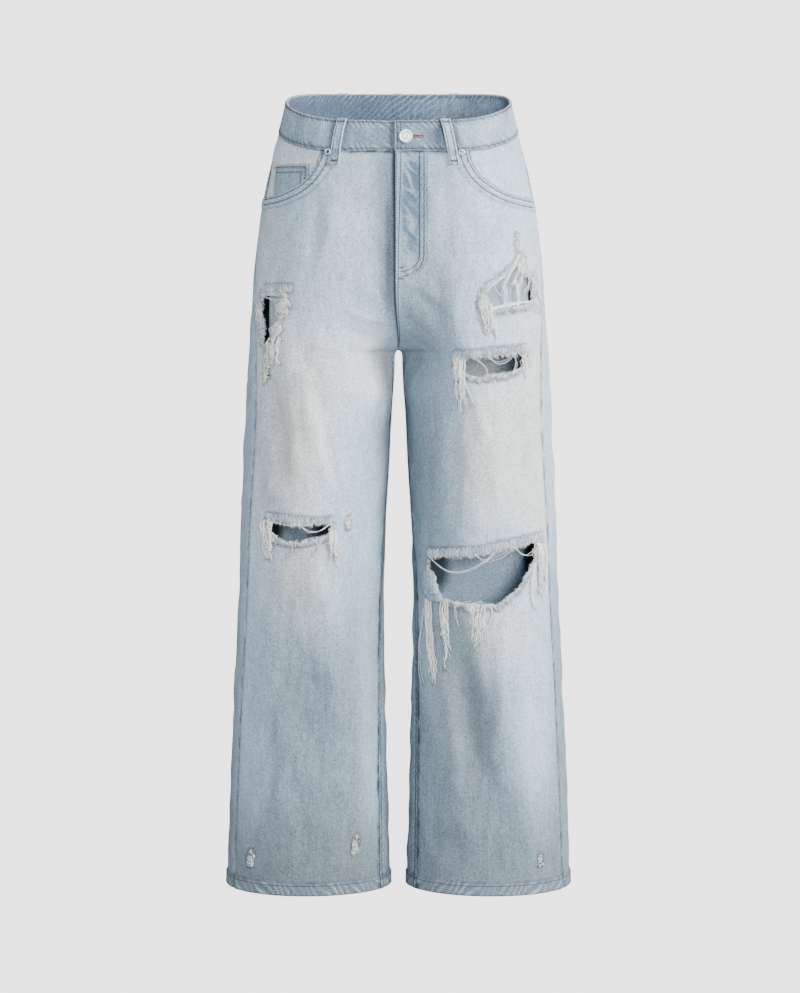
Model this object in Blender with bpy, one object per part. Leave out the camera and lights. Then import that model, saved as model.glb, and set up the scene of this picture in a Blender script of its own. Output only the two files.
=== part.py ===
"""Ripped wide-leg five-pocket jeans, filled out and standing with no wearer inside.

Metres, +Z up, the front faces -Y and the wearer's left is at +X. The origin is the middle of the
waist. Every cloth piece is a thin closed wall whose outer face lies on one garment form: a stack
of horizontal sections read from the SECTIONS table. A place on the form is given by a side
(+1 left, -1 right), a height and a turn in degrees: 0 is the outermost point of that side,
90 the front-most, 180 the inner leg or the centre front, -90 the back-most and -180 the inner
leg or the centre back.
"""
import math

import bmesh
import bpy
import numpy as np
from mathutils import Matrix, Vector
from mathutils.bvhtree import BVHTree

# ---- Driving dimensions -------------------------------------------------------------------
CLOTH = 0.0015            # one layer of denim
SEAM_GAP = 0.0003         # clearance between two sewn pieces
BAND_HEIGHT = 0.040       # waistband at the sides and the back
BAND_TAPER = 0.0025       # and how much less it is at the middle of the front
BAND_WALL = 0.003         # waistband, two layers of denim
BAND_LIFT = 0.0005        # how far the waistband stands proud of the panels
RIM_SIDE = 0.020          # height of the waist's rim at the side seams
RIM_SLOPE = 0.239         # the rim drops to the front and climbs to the back
RIM_BOW = 0.62            # and is slightly arched
CROTCH = -0.302           # height of the point where the four leg panels meet
FRONT_CURVE = 0.095       # height of the curved end of the front seam
BACK_CURVE = 0.150        # height of the curved end of the seat seam
CROTCH_ROUNDING = 0.006   # the legs part over this height
LEG_BLEND = 0.060         # and are fully round this far below the crotch
HEM_LINE = -1.007         # bottom edge of the legs
HEM_HEIGHT = 0.016        # turned-up hem
HEM_WALL = 0.003          # hem, two layers of denim
HEM_STEP = 0.0015         # height over which the second layer begins
HEM_MARGIN = 0.0005
OUTER_ROUND = 0.92        # 1 is an ellipse, less is squarer
FLY_EDGE = -0.0045        # the left front laps past the middle by this much
FLY_LAP = 0.0012          # and stands proud of the right front by this much
FLY_LAP_WIDTH = 0.045
FLY_FADE = 0.080          # the lap fades out over this height above the crotch
BAND_OVERLAP_GAP = 0.0012
BAND_OVERLAP_TURNS = (120, 135, 150, 165, 180)   # where the waistband's ends lie together
BAND_TURN_STEP = 15
BAND_SINK = ((165, 0.95), (150, 0.7), (135, 0.35), (120, 0.08))   # turn and share of the depth
PANEL_SPANS = 12          # faces across one leg panel
TURN_STEPS = 360          # steps of the search for the turn that reaches a given x
TURN_NUDGE = 0.4          # degrees and metres between the points that give a normal
HEIGHT_NUDGE = 0.0004
CUTTER_REACH = 0.250      # cutters run from this far in front to this far behind

# ---- Sections of the form -----------------------------------------------------------------
# front and back are depths from the side seam's plane, front_x and back_x say where they are
# reached, front_mid and back_mid are the depths on the centre line, gap is half the space
# between the legs and inner_y is where that space is narrowest. outseam and inseam are the
# turns of the two leg seams, towards the front.
COLUMNS = ("height", "outer", "front", "back", "front_x", "back_x", "front_mid", "back_mid",
           "gap", "inner_y", "outseam", "inseam")
SECTIONS = (
    (0.040, 0.1410, 0.1030, 0.0980, 0.050, 0.050, 0.1030, 0.098, 0.0040, 0.010, 0, 0),
    (0.020, 0.1463, 0.1045, 0.0990, 0.050, 0.050, 0.1045, 0.099, 0.0040, 0.010, 0, 0),
    (-0.020, 0.1562, 0.1080, 0.1060, 0.055, 0.055, 0.1080, 0.1045, 0.0040, 0.010, 0, 0),
    (-0.067, 0.1677, 0.1120, 0.1140, 0.062, 0.065, 0.1115, 0.112, 0.0040, 0.010, 2, 0),
    (-0.119, 0.1783, 0.1155, 0.1250, 0.070, 0.075, 0.1145, 0.121, 0.0040, 0.010, 5, 0),
    (-0.164, 0.1843, 0.1175, 0.1310, 0.076, 0.082, 0.1155, 0.124, 0.0040, 0.010, 10, 0),
    (-0.216, 0.1900, 0.1175, 0.1330, 0.083, 0.088, 0.1140, 0.122, 0.0040, 0.010, 17, 0),
    (-0.269, 0.1936, 0.1150, 0.1290, 0.090, 0.094, 0.1100, 0.114, 0.0040, 0.010, 25, 0),
    (-0.302, 0.1957, 0.1130, 0.1250, 0.094, 0.097, 0.1080, 0.110, 0.0042, 0.008, 29, 0),
    (-0.335, 0.1980, 0.1105, 0.1200, 0.098, 0.100, 0.1060, 0.106, 0.0062, 0.006, 32, 0),
    (-0.380, 0.2007, 0.1070, 0.1140, 0.102, 0.104, 0.1030, 0.102, 0.0098, 0.004, 35, 0),
    (-0.453, 0.2044, 0.1030, 0.1070, 0.107, 0.109, 0.1000, 0.100, 0.0132, 0.002, 35, 3),
    (-0.539, 0.2081, 0.0990, 0.1010, 0.112, 0.113, 0.0970, 0.098, 0.0174, 0.000, 33, 9),
    (-0.632, 0.2112, 0.0970, 0.0970, 0.115, 0.116, 0.0950, 0.095, 0.0192, -0.002, 32, 15),
    (-0.739, 0.2171, 0.0960, 0.0950, 0.118, 0.118, 0.0940, 0.093, 0.0177, -0.005, 31, 19),
    (-0.846, 0.2223, 0.0960, 0.0940, 0.119, 0.119, 0.0940, 0.092, 0.0152, -0.008, 30, 22),
    (-0.954, 0.2266, 0.0960, 0.0920, 0.119, 0.119, 0.0940, 0.090, 0.0122, -0.011, 29, 24),
    (-1.007, 0.2286, 0.0965, 0.0910, 0.119, 0.119, 0.0945, 0.089, 0.0107, -0.012, 29, 25),
)

# Largest folds: soft troughs (depth below 0) and ridges (above 0) that run from top to bottom.
FOLD_COLUMNS = ("side", "face", "top_x", "top_z", "bottom_x", "bottom_z", "width", "depth")
FOLDS = (
    (1, 1, 0.060, -0.560, 0.118, -0.960, 0.022, -0.0075),
    (1, 1, 0.050, -0.640, 0.090, -0.990, 0.020, 0.0045),
    (1, 1, 0.120, -0.660, 0.168, -0.980, 0.022, 0.0055),
    (1, 1, 0.166, -0.330, 0.152, -0.600, 0.020, -0.0040),
    (1, 1, 0.110, -0.300, 0.120, -0.520, 0.026, 0.0040),
    (-1, 1, 0.160, -0.560, 0.098, -0.900, 0.022, -0.0060),
    (-1, 1, 0.088, -0.580, 0.052, -0.960, 0.024, 0.0050),
    (-1, 1, 0.110, -0.320, 0.120, -0.540, 0.026, 0.0040),
    (-1, 1, 0.164, -0.300, 0.142, -0.500, 0.018, -0.0040),
    (-1, 1, 0.112, -0.080, 0.106, -0.230, 0.014, -0.0025),
    (1, -1, 0.070, -0.300, 0.112, -0.620, 0.026, -0.0060),
    (1, -1, 0.140, -0.560, 0.090, -0.960, 0.026, -0.0070),
    (-1, -1, 0.078, -0.320, 0.120, -0.600, 0.026, -0.0060),
    (-1, -1, 0.132, -0.600, 0.096, -0.980, 0.026, -0.0070),
)

# Heights of the cloth grid's rows under the waist seam: at the outseam, at the centre front and
# at the centre back. The centre heights crowd towards the crotch, where the seams curve under.
ROWS = (
    (-0.0440, -0.0880, -0.0400),
    (-0.0700, -0.1290, -0.0780),
    (-0.1000, -0.1690, -0.1150),
    (-0.1300, -0.2070, -0.1520),
    (-0.1600, -0.2433, -0.2094),
    (-0.1880, -0.2742, -0.2581),
    (-0.2140, -0.2948, -0.2906),
    (-0.2380, -0.3012, -0.3008),
    (-0.2620, -0.3020, -0.3020),
    (-0.2860, -0.3035, -0.3035),
    (-0.3100, -0.3080, -0.3080),
    (-0.3360, -0.3200, -0.3200),
    (-0.3640, -0.3430, -0.3430),
    (-0.3940, -0.3750, -0.3750),
    (-0.4260, -0.4120, -0.4120),
    (-0.4600, -0.4500, -0.4500),
    (-0.4960, -0.4900, -0.4900),
    (-0.5320, -0.5300, -0.5300),
)
LOWER_ROWS_TOP = -0.570
LOWER_ROWS = 8
YOKE_ROW = 2              # the row that the yoke's seam follows
TILT_FADE = 0.120         # the waist's tilt dies out over this depth

# ---- Pieces on the panels -----------------------------------------------------------------
# Front pocket mouths: quarter ellipses from the waist seam to the side seam.
MOUTH_COLUMNS = ("side", "centre_x", "centre_z", "width", "drop")
MOUTH_STEPS = 8
MOUTH_MARGIN = 0.050      # how far the cutout runs past the seams
MOUTHS = (
    (1, 0.177, -0.042, 0.090, 0.066),
    (-1, 0.177, -0.042, 0.080, 0.063),
)
FACING_WALL = 0.0012
FACING_FLUSH = 0.15       # share of the mouth over which a facing stays flush with the seams
FACING_SLOPE = 0.40       # share over which it slopes in to pass under the panel
FACING_BLOCK = (0, 4, 0, 6)       # first and last row and column of the front panel's grid
COIN_WALL = 0.0010
COIN_OUTLINE = ((0.1145, -0.0655), (0.1600, -0.0640), (0.1630, -0.1120), (0.1190, -0.1120))
BAG_WALL = 0.0012
BAG_BLOCK = (0, 10, 2, 6)
UNDERLAP_BLOCK = (0, 5, 8, 12)
UNDERLAP_OUTLINE = ((-0.020, -0.040), (0.036, -0.040), (0.036, -0.160), (0.033, -0.178),
                    (0.024, -0.193), (0.010, -0.203), (-0.020, -0.203))

LOOP_WIDTH = 0.0125
LOOP_WALL = 0.0018
LOOP_TOP = 0.001          # above the rim
LOOP_BOTTOM = 0.016       # below the waistband
LOOP_LIFT = 0.0074        # room for a belt
LOOP_REST = 0.0005        # clearance where the loop is sewn down
LOOP_BAR = 0.006          # height of the part that is sewn down
LOOP_COLUMNS = ("name", "side", "face", "top_x", "bottom_x")
LOOPS = (
    ("belt_loop_front_left", 1, 1, 0.0590, 0.0710),
    ("belt_loop_front_right", -1, 1, 0.0710, 0.0810),
    ("belt_loop_side_left", 1, -1, 0.0740, 0.0790),
    ("belt_loop_side_right", -1, -1, 0.0740, 0.0790),
    ("belt_loop_back", 1, -1, 0.0, 0.0),
)

BUTTON_X = 0.0092
BUTTON_Z = -0.0305
BUTTON_RADIUS = 0.0086
BUTTON_THICK = 0.0026
BUTTON_LIFT = 0.0006      # from the waistband to the back of the button
BUTTON_EDGE = 0.0008      # rounding of its rim
BUTTON_FACETS = 20
SHANK_RADIUS = 0.0024
BUTTONHOLE_RADIUS = 0.0034
BUTTONHOLE_END_X = 0.0220
BUTTONHOLE_SLIT = 0.0014
BUTTONHOLE_OPENING = 20   # degrees on each side of the slit that the round part leaves open
BUTTONHOLE_STEP = 32      # degrees between the points of the round part
BUTTONHOLE_REACH = 0.010  # how far in front of the waistband its cutter starts
RIVET_RADIUS = 0.0040
RIVET_THICK = 0.0012
RIVET_FACETS = 14
RIVET_DROP = 0.0052       # below the waist seam
RIVET_COLUMNS = ("name", "side", "x")
RIVETS = (
    ("rivet_left", 1, 0.0800),
    ("rivet_right", -1, 0.0890),
)

# Back pockets: a straight mouth, sides that narrow, and a point at the bottom.
BACK_POCKET_OUTLINE = ((0.034, -0.100), (0.146, -0.090), (0.141, -0.220), (0.091, -0.252),
                       (0.041, -0.226))
BACK_POCKET_BLOCK = (2, 10, 0, 12)

# ---- Rips: outlines on the front, as x to the wearer's side and height -----------------------
RIPS = {
    "rip_thigh_right": (-1, ((0.144, -0.2245), (0.172, -0.2265), (0.176, -0.246), (0.172, -0.268),
                             (0.174, -0.292), (0.166, -0.296), (0.150, -0.262), (0.143, -0.240))),
    "rip_knee_right": (-1, ((0.086, -0.520), (0.108, -0.5205), (0.132, -0.5225), (0.165, -0.518),
                            (0.167, -0.531), (0.155, -0.5415), (0.144, -0.5465), (0.122, -0.5455),
                            (0.110, -0.541), (0.092, -0.538), (0.086, -0.532))),
    "rip_hip_left": (1, ((0.152, -0.178), (0.157, -0.182), (0.1625, -0.206), (0.172, -0.208),
                         (0.170, -0.240), (0.158, -0.247), (0.136, -0.2455), (0.120, -0.249),
                         (0.106, -0.232), (0.112, -0.218), (0.134, -0.203), (0.149, -0.190))),
    "rip_thigh_left": (1, ((0.0715, -0.310), (0.110, -0.306), (0.163, -0.302), (0.157, -0.3235),
                           (0.136, -0.3305), (0.113, -0.332), (0.096, -0.3355),
                           (0.083, -0.3295))),
    "rip_knee_left": (1, ((0.041, -0.5665), (0.100, -0.5610), (0.133, -0.554), (0.182, -0.5445),
                          (0.181, -0.560), (0.164, -0.591), (0.154, -0.6075), (0.127, -0.6265),
                          (0.102, -0.6265), (0.059, -0.6225), (0.050, -0.611), (0.038, -0.5845))),
}
RIP_DEPTH = 0.040         # the cutters stop this far in front of the side seams' plane

# Hanging thread tassels: plain flat solids of their reach.
FRINGE_WALL = 0.003
FRINGE_CLEAR = 0.0006
FRINGE_TAPER = 0.275      # share of its width that a fringe loses on each side
FRINGE_COLUMNS = ("name", "side", "inner_x", "outer_x", "top_z", "bottom_z")
FRINGES = (
    ("fringe_knee_right_outer", -1, 0.157, 0.174, -0.524, -0.580),
    ("fringe_knee_right_inner", -1, 0.078, 0.093, -0.541, -0.582),
    ("fringe_thigh_left", 1, 0.069, 0.090, -0.334, -0.388),
    ("fringe_hip_left", 1, 0.103, 0.121, -0.252, -0.286),
    ("fringe_knee_left_a", 1, 0.036, 0.046, -0.602, -0.712),
    ("fringe_knee_left_b", 1, 0.051, 0.062, -0.626, -0.716),
    ("fringe_knee_left_c", 1, 0.082, 0.100, -0.630, -0.694),
    ("fringe_knee_left_outer", 1, 0.174, 0.190, -0.568, -0.628),
    ("fringe_thigh_right", -1, 0.150, 0.168, -0.298, -0.332),
)

COLOURS = {
    "denim": ((0.46, 0.56, 0.66, 1), 0.9, 0),
    "denim_dark": ((0.30, 0.40, 0.52, 1), 0.9, 0),
    "pocketing": ((0.55, 0.61, 0.66, 1), 0.9, 0),
    "metal": ((0.72, 0.72, 0.70, 1), 0.3, 1),
    "thread": ((0.85, 0.83, 0.78, 1), 0.9, 0),
}


def named_rows(columns, rows):
    """Turn a table into one dictionary for each row."""
    return [dict(zip(columns, row)) for row in rows]


# ---- The form -----------------------------------------------------------------------------
def section_value(name, height):
    """Read one column of SECTIONS at any height, as a smooth curve through its rows."""
    table = np.array(SECTIONS)[::-1]
    heights = table[:, 0]
    values = table[:, COLUMNS.index(name)]
    slopes = np.gradient(values, heights)
    height = np.clip(height, heights[0], heights[-1])
    below = np.clip(np.searchsorted(heights, height) - 1, 0, len(heights) - 2)
    step = heights[below + 1] - heights[below]
    s = (height - heights[below]) / step
    start = (1 + 2 * s) * (1 - s) ** 2 * values[below] + s * (1 - s) ** 2 * step * slopes[below]
    end = s * s * (3 - 2 * s) * values[below + 1] + s * s * (s - 1) * step * slopes[below + 1]
    return start + end


def smooth(value):
    """Ease from 0 to 1."""
    value = np.clip(value, 0, 1)
    return value * value * (3 - 2 * value)


def fold_relief(side, face, x, height):
    """Add up the folds that reach a place on one face of one leg."""
    total = np.zeros_like(x)
    for fold in named_rows(FOLD_COLUMNS, FOLDS):
        length = fold["top_z"] - fold["bottom_z"]
        down = np.clip((fold["top_z"] - height) / length, 0, 1)
        middle = fold["top_x"] + (fold["bottom_x"] - fold["top_x"]) * down
        across = np.exp(-((x - middle) / fold["width"]) ** 2)
        here = (face == fold["face"]) * (side == fold["side"])
        total += here * fold["depth"] * across * np.sin(math.pi * down) ** 2
    return total


def body(side, height, turn):
    """Points of the garment's outer face; height and turn are arrays or numbers."""
    height, turn = np.broadcast_arrays(np.asarray(height, float), np.asarray(turn, float))
    above = height > CROTCH
    wrapped = (turn + 180) % 360 - 180
    turn = np.where(above | (np.abs(turn) <= 180), np.clip(turn, -180, 180), wrapped)
    is_front = turn >= 0
    face = np.where(is_front, 1, -1)
    around = np.abs(turn)
    reach = np.where(is_front, section_value("front", height), section_value("back", height))
    peak = np.where(is_front, section_value("front_x", height), section_value("back_x", height))
    mid = np.where(is_front, section_value("front_mid", height),
                   section_value("back_mid", height))
    rise = np.where(is_front, FRONT_CURVE, BACK_CURVE)
    inner_y = section_value("inner_y", height)

    angle = np.radians(np.minimum(around, 90))
    outer_x = peak + (section_value("outer", height) - peak) * np.cos(angle) ** OUTER_ROUND
    outer_y = reach * np.sin(angle) ** OUTER_ROUND

    hang = np.sqrt(1 - np.clip((CROTCH + rise - height) / rise, 0, 1) ** 2)
    edge_fade = smooth((height - CROTCH) / FLY_FADE)
    edge_x = side * FLY_EDGE * edge_fade * is_front
    parting = np.clip((CROTCH - height) / CROTCH_ROUNDING, 0, 1)
    gap = section_value("gap", height) * np.sqrt(1 - (1 - parting) ** 2)
    end_x = np.where(above, edge_x, gap)
    end_y = np.where(above, -face * mid * hang + inner_y * (1 - hang), inner_y)
    q = np.clip((around - 90) / 90, 0, 1)
    legs = smooth((CROTCH - height) / LEG_BLEND)
    under = np.where(above, 1 - hang, 1)
    along = (1 - legs) * q + legs * np.sin(q * math.pi / 2)
    drop = ((1 - under) * (1 - np.cos(math.pi * q)) / 2
            + under * (1 - np.cos(q * math.pi / 2)))
    inner_x = peak + (end_x - peak) * along
    reach_y = -face * reach
    inner_line = reach_y + (end_y - reach_y) * drop

    x = np.where(around <= 90, outer_x, inner_x)
    y = np.where(around <= 90, -face * outer_y, inner_line)
    relief = fold_relief(side, face, x, height)
    lap = smooth(1 - x / FLY_LAP_WIDTH) * edge_fade * FLY_LAP * (side > 0) * is_front
    y = y - face * (relief * np.sin(np.radians(around)) + lap)
    return np.stack((side * x, y, height), axis=-1)


def outward(side, height, turn):
    """Unit normals of the outer face."""
    across = body(side, height, turn + TURN_NUDGE) - body(side, height, turn - TURN_NUDGE)
    up = body(side, height + HEIGHT_NUDGE, turn) - body(side, height - HEIGHT_NUDGE, turn)
    normal = -side * np.cross(across, up)
    return normal / np.linalg.norm(normal, axis=-1, keepdims=True)


def lifted(side, height, turn, lift):
    """Points moved out from the form by a lift, or in where it is negative."""
    height, turn, lift = np.broadcast_arrays(height, turn, lift)
    return body(side, height, turn) + outward(side, height, turn) * lift[..., None]


def turn_at(side, face, x, height):
    """The turn at which one face reaches a distance x from the middle."""
    turns = np.linspace(0, 180, TURN_STEPS + 1) * face
    reached = side * body(side, np.full_like(turns, height), turns)[:, 0]
    return float(np.interp(-x, -reached, turns * face)) * face


def rim_height(turn):
    """Height of the waist's rim, which tilts forward."""
    y = body(1, 0.0, turn)[..., 1]
    return RIM_SIDE + RIM_SLOPE * y - RIM_BOW * y * y


def waist_seam(turn):
    """Height of the seam under the waistband."""
    to_front = np.sin(np.radians(np.clip(turn, 0, 180)) / 2) ** 2
    return rim_height(turn) - BAND_HEIGHT + BAND_TAPER * to_front


# ---- Meshes -------------------------------------------------------------------------------
def material(name):
    """A plain Principled material."""
    found = bpy.data.materials.get(name)
    if found:
        return found
    colour, roughness, metallic = COLOURS[name]
    made = bpy.data.materials.new(name)
    made.use_nodes = True
    shader = made.node_tree.nodes["Principled BSDF"]
    shader.inputs["Base Color"].default_value = colour
    shader.inputs["Roughness"].default_value = roughness
    shader.inputs["Metallic"].default_value = metallic
    made.diffuse_color = colour
    return made


def add_object(name, mesh_data, finish):
    """Finish a bmesh as a named object with its faces pointing out."""
    bmesh.ops.triangulate(mesh_data, faces=mesh_data.faces, quad_method="FIXED")
    bmesh.ops.recalc_face_normals(mesh_data, faces=mesh_data.faces)
    mesh = bpy.data.meshes.new(name)
    mesh_data.to_mesh(mesh)
    mesh_data.free()
    made = bpy.data.objects.new(name, mesh)
    made.data.materials.append(material(finish))
    bpy.context.scene.collection.objects.link(made)
    return made


def add_wall(name, outer, inner, finish):
    """A closed sheet between two grids of points of the same size."""
    rows, columns = outer.shape[:2]
    mesh_data = bmesh.new()
    top, under = [[[mesh_data.verts.new(point) for point in row] for row in grid]
                  for grid in (outer, inner)]
    for r in range(rows - 1):
        for c in range(columns - 1):
            mesh_data.faces.new((top[r][c], top[r][c + 1], top[r + 1][c + 1], top[r + 1][c]))
            mesh_data.faces.new((under[r + 1][c + 1], under[r][c + 1], under[r][c],
                                 under[r + 1][c]))
    border = [(0, c) for c in range(columns)]
    border += [(r, columns - 1) for r in range(1, rows)]
    border += [(rows - 1, c) for c in range(columns - 2, -1, -1)]
    border += [(r, 0) for r in range(rows - 2, 0, -1)]
    for (r0, c0), (r1, c1) in zip(border, border[1:] + border[:1]):
        mesh_data.faces.new((top[r1][c1], top[r0][c0], under[r0][c0], under[r1][c1]))
    return add_object(name, mesh_data, finish)


def pull_back(grid, distance, last_row=False):
    """Move the border of a grid inwards along its own surface, to leave half a seam's gap."""
    moved = grid.copy()
    for edge, inside in ((0, 1), (-1, -2)):
        away = grid[:, inside] - grid[:, edge]
        moved[:, edge] += away / np.linalg.norm(away, axis=-1, keepdims=True) * distance
        if edge == 0 or last_row:
            away = grid[inside] - grid[edge]
            moved[edge] += away / np.linalg.norm(away, axis=-1, keepdims=True) * distance
    return moved


def cut(target, cutter, operation="DIFFERENCE"):
    """Subtract a cutter from an object with an exact Boolean, or keep what lies inside it."""
    cutter.hide_render = True
    cutter.display_type = "WIRE"
    step = target.modifiers.new(cutter.name, "BOOLEAN")
    step.object = cutter
    step.operation = operation
    step.solver = "EXACT"


def prism(name, outline, near_y, far_y):
    """A prism along Y from an outline of (x, z) points."""
    mesh_data = bmesh.new()
    near = [mesh_data.verts.new((x, near_y, z)) for x, z in outline]
    far = [mesh_data.verts.new((x, far_y, z)) for x, z in outline]
    mesh_data.faces.new(near)
    mesh_data.faces.new(far[::-1])
    for i in range(len(outline)):
        j = (i + 1) % len(outline)
        mesh_data.faces.new((near[j], near[i], far[i], far[j]))
    return add_object(name, mesh_data, "denim")


def mirrored(side, outline):
    """An outline written for the wearer's left, on either side."""
    return [(side * x, z) for x, z in outline]


# ---- Leg panels and yokes -----------------------------------------------------------------
def grid_rows():
    """All row heights: the waist seam, ROWS, even rows down the leg and the hem's two."""
    waist = tuple(float(waist_seam(turn)) for turn in (0, 180, -180))
    hem_top = HEM_LINE + HEM_HEIGHT
    lower = np.linspace(LOWER_ROWS_TOP, hem_top + HEM_STEP, LOWER_ROWS)
    return [waist, *ROWS] + [(z, z, z) for z in (*lower, hem_top, HEM_LINE)]


def row_place(face, heights, fraction):
    """Height and turn of one grid point; fraction runs from the outseam to the inner end."""
    outseam_z = heights[0]
    inner_z = heights[1] if face > 0 else heights[2]
    base = outseam_z + (inner_z - outseam_z) * fraction ** 3
    outseam = float(section_value("outseam", base))
    inseam = float(section_value("inseam", base))
    if face > 0:
        turn = outseam + (180 - inseam - outseam) * fraction
    else:
        turn = outseam - (180 + inseam + outseam) * fraction
    fade = max(0, 1 - (float(waist_seam(0)) - outseam_z) / TILT_FADE)
    own_tilt = waist_seam(turn) - waist_seam(outseam)
    end_turn = 180 * face
    end_tilt = waist_seam(end_turn) - waist_seam(outseam)
    share = own_tilt - end_tilt * fraction ** 3
    return base + share * fade, turn


def panel_grid(side, face, first, last):
    """Heights and turns of a block of rows on one face of one side."""
    rows = grid_rows()[first:last + 1]
    places = [[row_place(face, row, c / PANEL_SPANS) for c in range(PANEL_SPANS + 1)]
              for row in rows]
    places = np.array(places)
    return places[..., 0], places[..., 1]


def add_panel(name, side, face, first, last, finish):
    """One sewn panel between two rows of the grid."""
    height, turn = panel_grid(side, face, first, last)
    outer = body(side, height, turn)
    wall = np.where(height < HEM_LINE + HEM_HEIGHT + HEM_MARGIN, HEM_WALL, CLOTH)
    moved = pull_back(outer, SEAM_GAP / 2, last == YOKE_ROW)
    inner = moved - outward(side, height, turn) * wall[..., None]
    return add_wall(name, moved, inner, finish)


def mouth_of(side):
    """The MOUTHS row of one side."""
    return next(row for row in named_rows(MOUTH_COLUMNS, MOUTHS) if row["side"] == side)


def mouth_cutout(side):
    """Outline of what a pocket mouth takes off a front panel, up to the waist and side seams."""
    mouth = mouth_of(side)
    points = []
    for i in range(MOUTH_STEPS + 1):
        angle = math.radians(90 * i / MOUTH_STEPS)
        points.append((mouth["centre_x"] - mouth["width"] * math.cos(angle),
                       mouth["centre_z"] - mouth["drop"] * math.sin(angle)))
    beyond = mouth["centre_x"] + MOUTH_MARGIN
    points += [(beyond, points[-1][1]), (beyond, MOUTH_MARGIN), (points[0][0], MOUTH_MARGIN)]
    return mirrored(side, points)


def add_legs():
    """The four leg panels and the two yokes."""
    last = len(grid_rows()) - 1
    for side, word in ((1, "left"), (-1, "right")):
        front = add_panel("front_" + word + "_panel", side, 1, 0, last, "denim")
        add_panel("back_" + word + "_panel", side, -1, YOKE_ROW, last, "denim_dark")
        add_panel("yoke_" + word, side, -1, 0, YOKE_ROW, "denim")
        cut(front, prism("mouth_" + word, mouth_cutout(side), -CUTTER_REACH, MOUTH_MARGIN))
        for name, (rip_side, points) in RIPS.items():
            if rip_side == side:
                cut(front, prism(name, mirrored(side, points), -CUTTER_REACH, -RIP_DEPTH))


# ---- Waistband and fly --------------------------------------------------------------------
def band_path():
    """Stations along the waistband: side, turn and lift, from the underlap's end to the tab."""
    under = -(BAND_WALL + BAND_OVERLAP_GAP)
    stations = [(1, turn, under) for turn in BAND_OVERLAP_TURNS]
    stations += [(-1, turn, under * share) for turn, share in BAND_SINK]
    open_turns = range(-165, 106, BAND_TURN_STEP)
    stations += [(-1, turn, 0.0) for turn in reversed(open_turns)]
    stations += [(-1, -180, 0.0)]
    stations += [(1, turn, 0.0) for turn in open_turns]
    stations += [(1, turn, 0.0) for turn in BAND_OVERLAP_TURNS]
    return stations


def add_waistband():
    """One strip round the waist, its left end lapping over its right."""
    outer = []
    inner = []
    side, turn, lift = np.array(band_path()).T
    rim = rim_height(turn)
    seam = waist_seam(turn) + SEAM_GAP
    for share in (0.0, 0.5, 1.0):
        height = rim + (seam - rim) * share
        outer.append([lifted(*place) for place in zip(side, height, turn, lift + BAND_LIFT)])
        inner.append([lifted(*place)
                      for place in zip(side, height, turn, lift + BAND_LIFT - BAND_WALL)])
    band = add_wall("waistband", np.array(outer), np.array(inner), "denim")
    depth = float(body(1, BUTTON_Z, turn_at(1, 1, BUTTON_X, BUTTON_Z))[1])
    hole = prism("buttonhole", buttonhole_outline(), depth - BUTTONHOLE_REACH,
                 depth + BAND_WALL - BAND_LIFT + BAND_OVERLAP_GAP / 2)
    cut(band, hole)


def buttonhole_outline():
    """A keyhole: round at the button and a narrow slit towards the wearer's left."""
    points = []
    last = 360 - BUTTONHOLE_OPENING
    for degrees in range(BUTTONHOLE_OPENING, last + 1, BUTTONHOLE_STEP):
        angle = math.radians(degrees)
        points.append((BUTTON_X + BUTTONHOLE_RADIUS * math.cos(angle),
                       BUTTON_Z + BUTTONHOLE_RADIUS * math.sin(angle)))
    points.append((BUTTONHOLE_END_X, BUTTON_Z - BUTTONHOLE_SLIT / 2))
    points.append((BUTTONHOLE_END_X, BUTTON_Z + BUTTONHOLE_SLIT / 2))
    return points


def keep_inside(target, outline):
    """Keep only what lies inside an outline of (x, z) points, through the whole depth."""
    cutter = prism(target.name + "_outline", outline, -CUTTER_REACH, CUTTER_REACH)
    cut(target, cutter, "INTERSECT")


def layer(name, side, face, block, lift, wall, finish):
    """A sheet made from a block of a panel's own grid points, moved out by a lift or in."""
    first_row, last_row, first_column, last_column = block
    height, turn = panel_grid(side, face, first_row, last_row)
    height = height[:, first_column:last_column + 1]
    turn = turn[:, first_column:last_column + 1]
    if callable(lift):
        lift = lift(side * body(side, height, turn)[..., 0], height)
    face_points = pull_back(lifted(side, height, turn, lift), SEAM_GAP / 2)
    under_points = face_points - outward(side, height, turn) * wall
    return add_wall(name, face_points, under_points, finish)


def add_fly():
    """The underlap behind the closed fly, sewn to the right front's edge."""
    underlap = layer("fly_underlap", 1, 1, UNDERLAP_BLOCK, -(CLOTH + SEAM_GAP), CLOTH, "denim")
    keep_inside(underlap, UNDERLAP_OUTLINE)


# ---- Front pockets ------------------------------------------------------------------------
def facing_under(side):
    """Depth of a facing's outer face under the front panel."""
    under = CLOTH + SEAM_GAP
    if side < 0:
        under += COIN_WALL + SEAM_GAP
    return under


def facing_lift(side):
    """A function for how far a facing is moved: flush at the seams, in under the mouth."""
    mouth = mouth_of(side)

    def lift(x, height):
        reach = np.hypot((mouth["centre_x"] - x) / mouth["width"],
                         (mouth["centre_z"] - height) / mouth["drop"])
        return -facing_under(side) * smooth((reach - FACING_FLUSH) / FACING_SLOPE)

    return lift


def add_front_pockets():
    """Facings, the coin pocket and the pocket bags."""
    for side, word in ((1, "left"), (-1, "right")):
        layer("pocket_facing_" + word, side, 1, FACING_BLOCK, facing_lift(side), FACING_WALL,
              "denim")
        depth = facing_under(side) + FACING_WALL + SEAM_GAP
        layer("pocket_bag_" + word, side, 1, BAG_BLOCK, -depth, BAG_WALL, "pocketing")

    facing = facing_lift(-1)

    def coin_lift(x, height):
        return facing(x, height) + SEAM_GAP + COIN_WALL

    coin = layer("coin_pocket", -1, 1, FACING_BLOCK, coin_lift, COIN_WALL, "denim")
    keep_inside(coin, mirrored(-1, COIN_OUTLINE))


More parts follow.
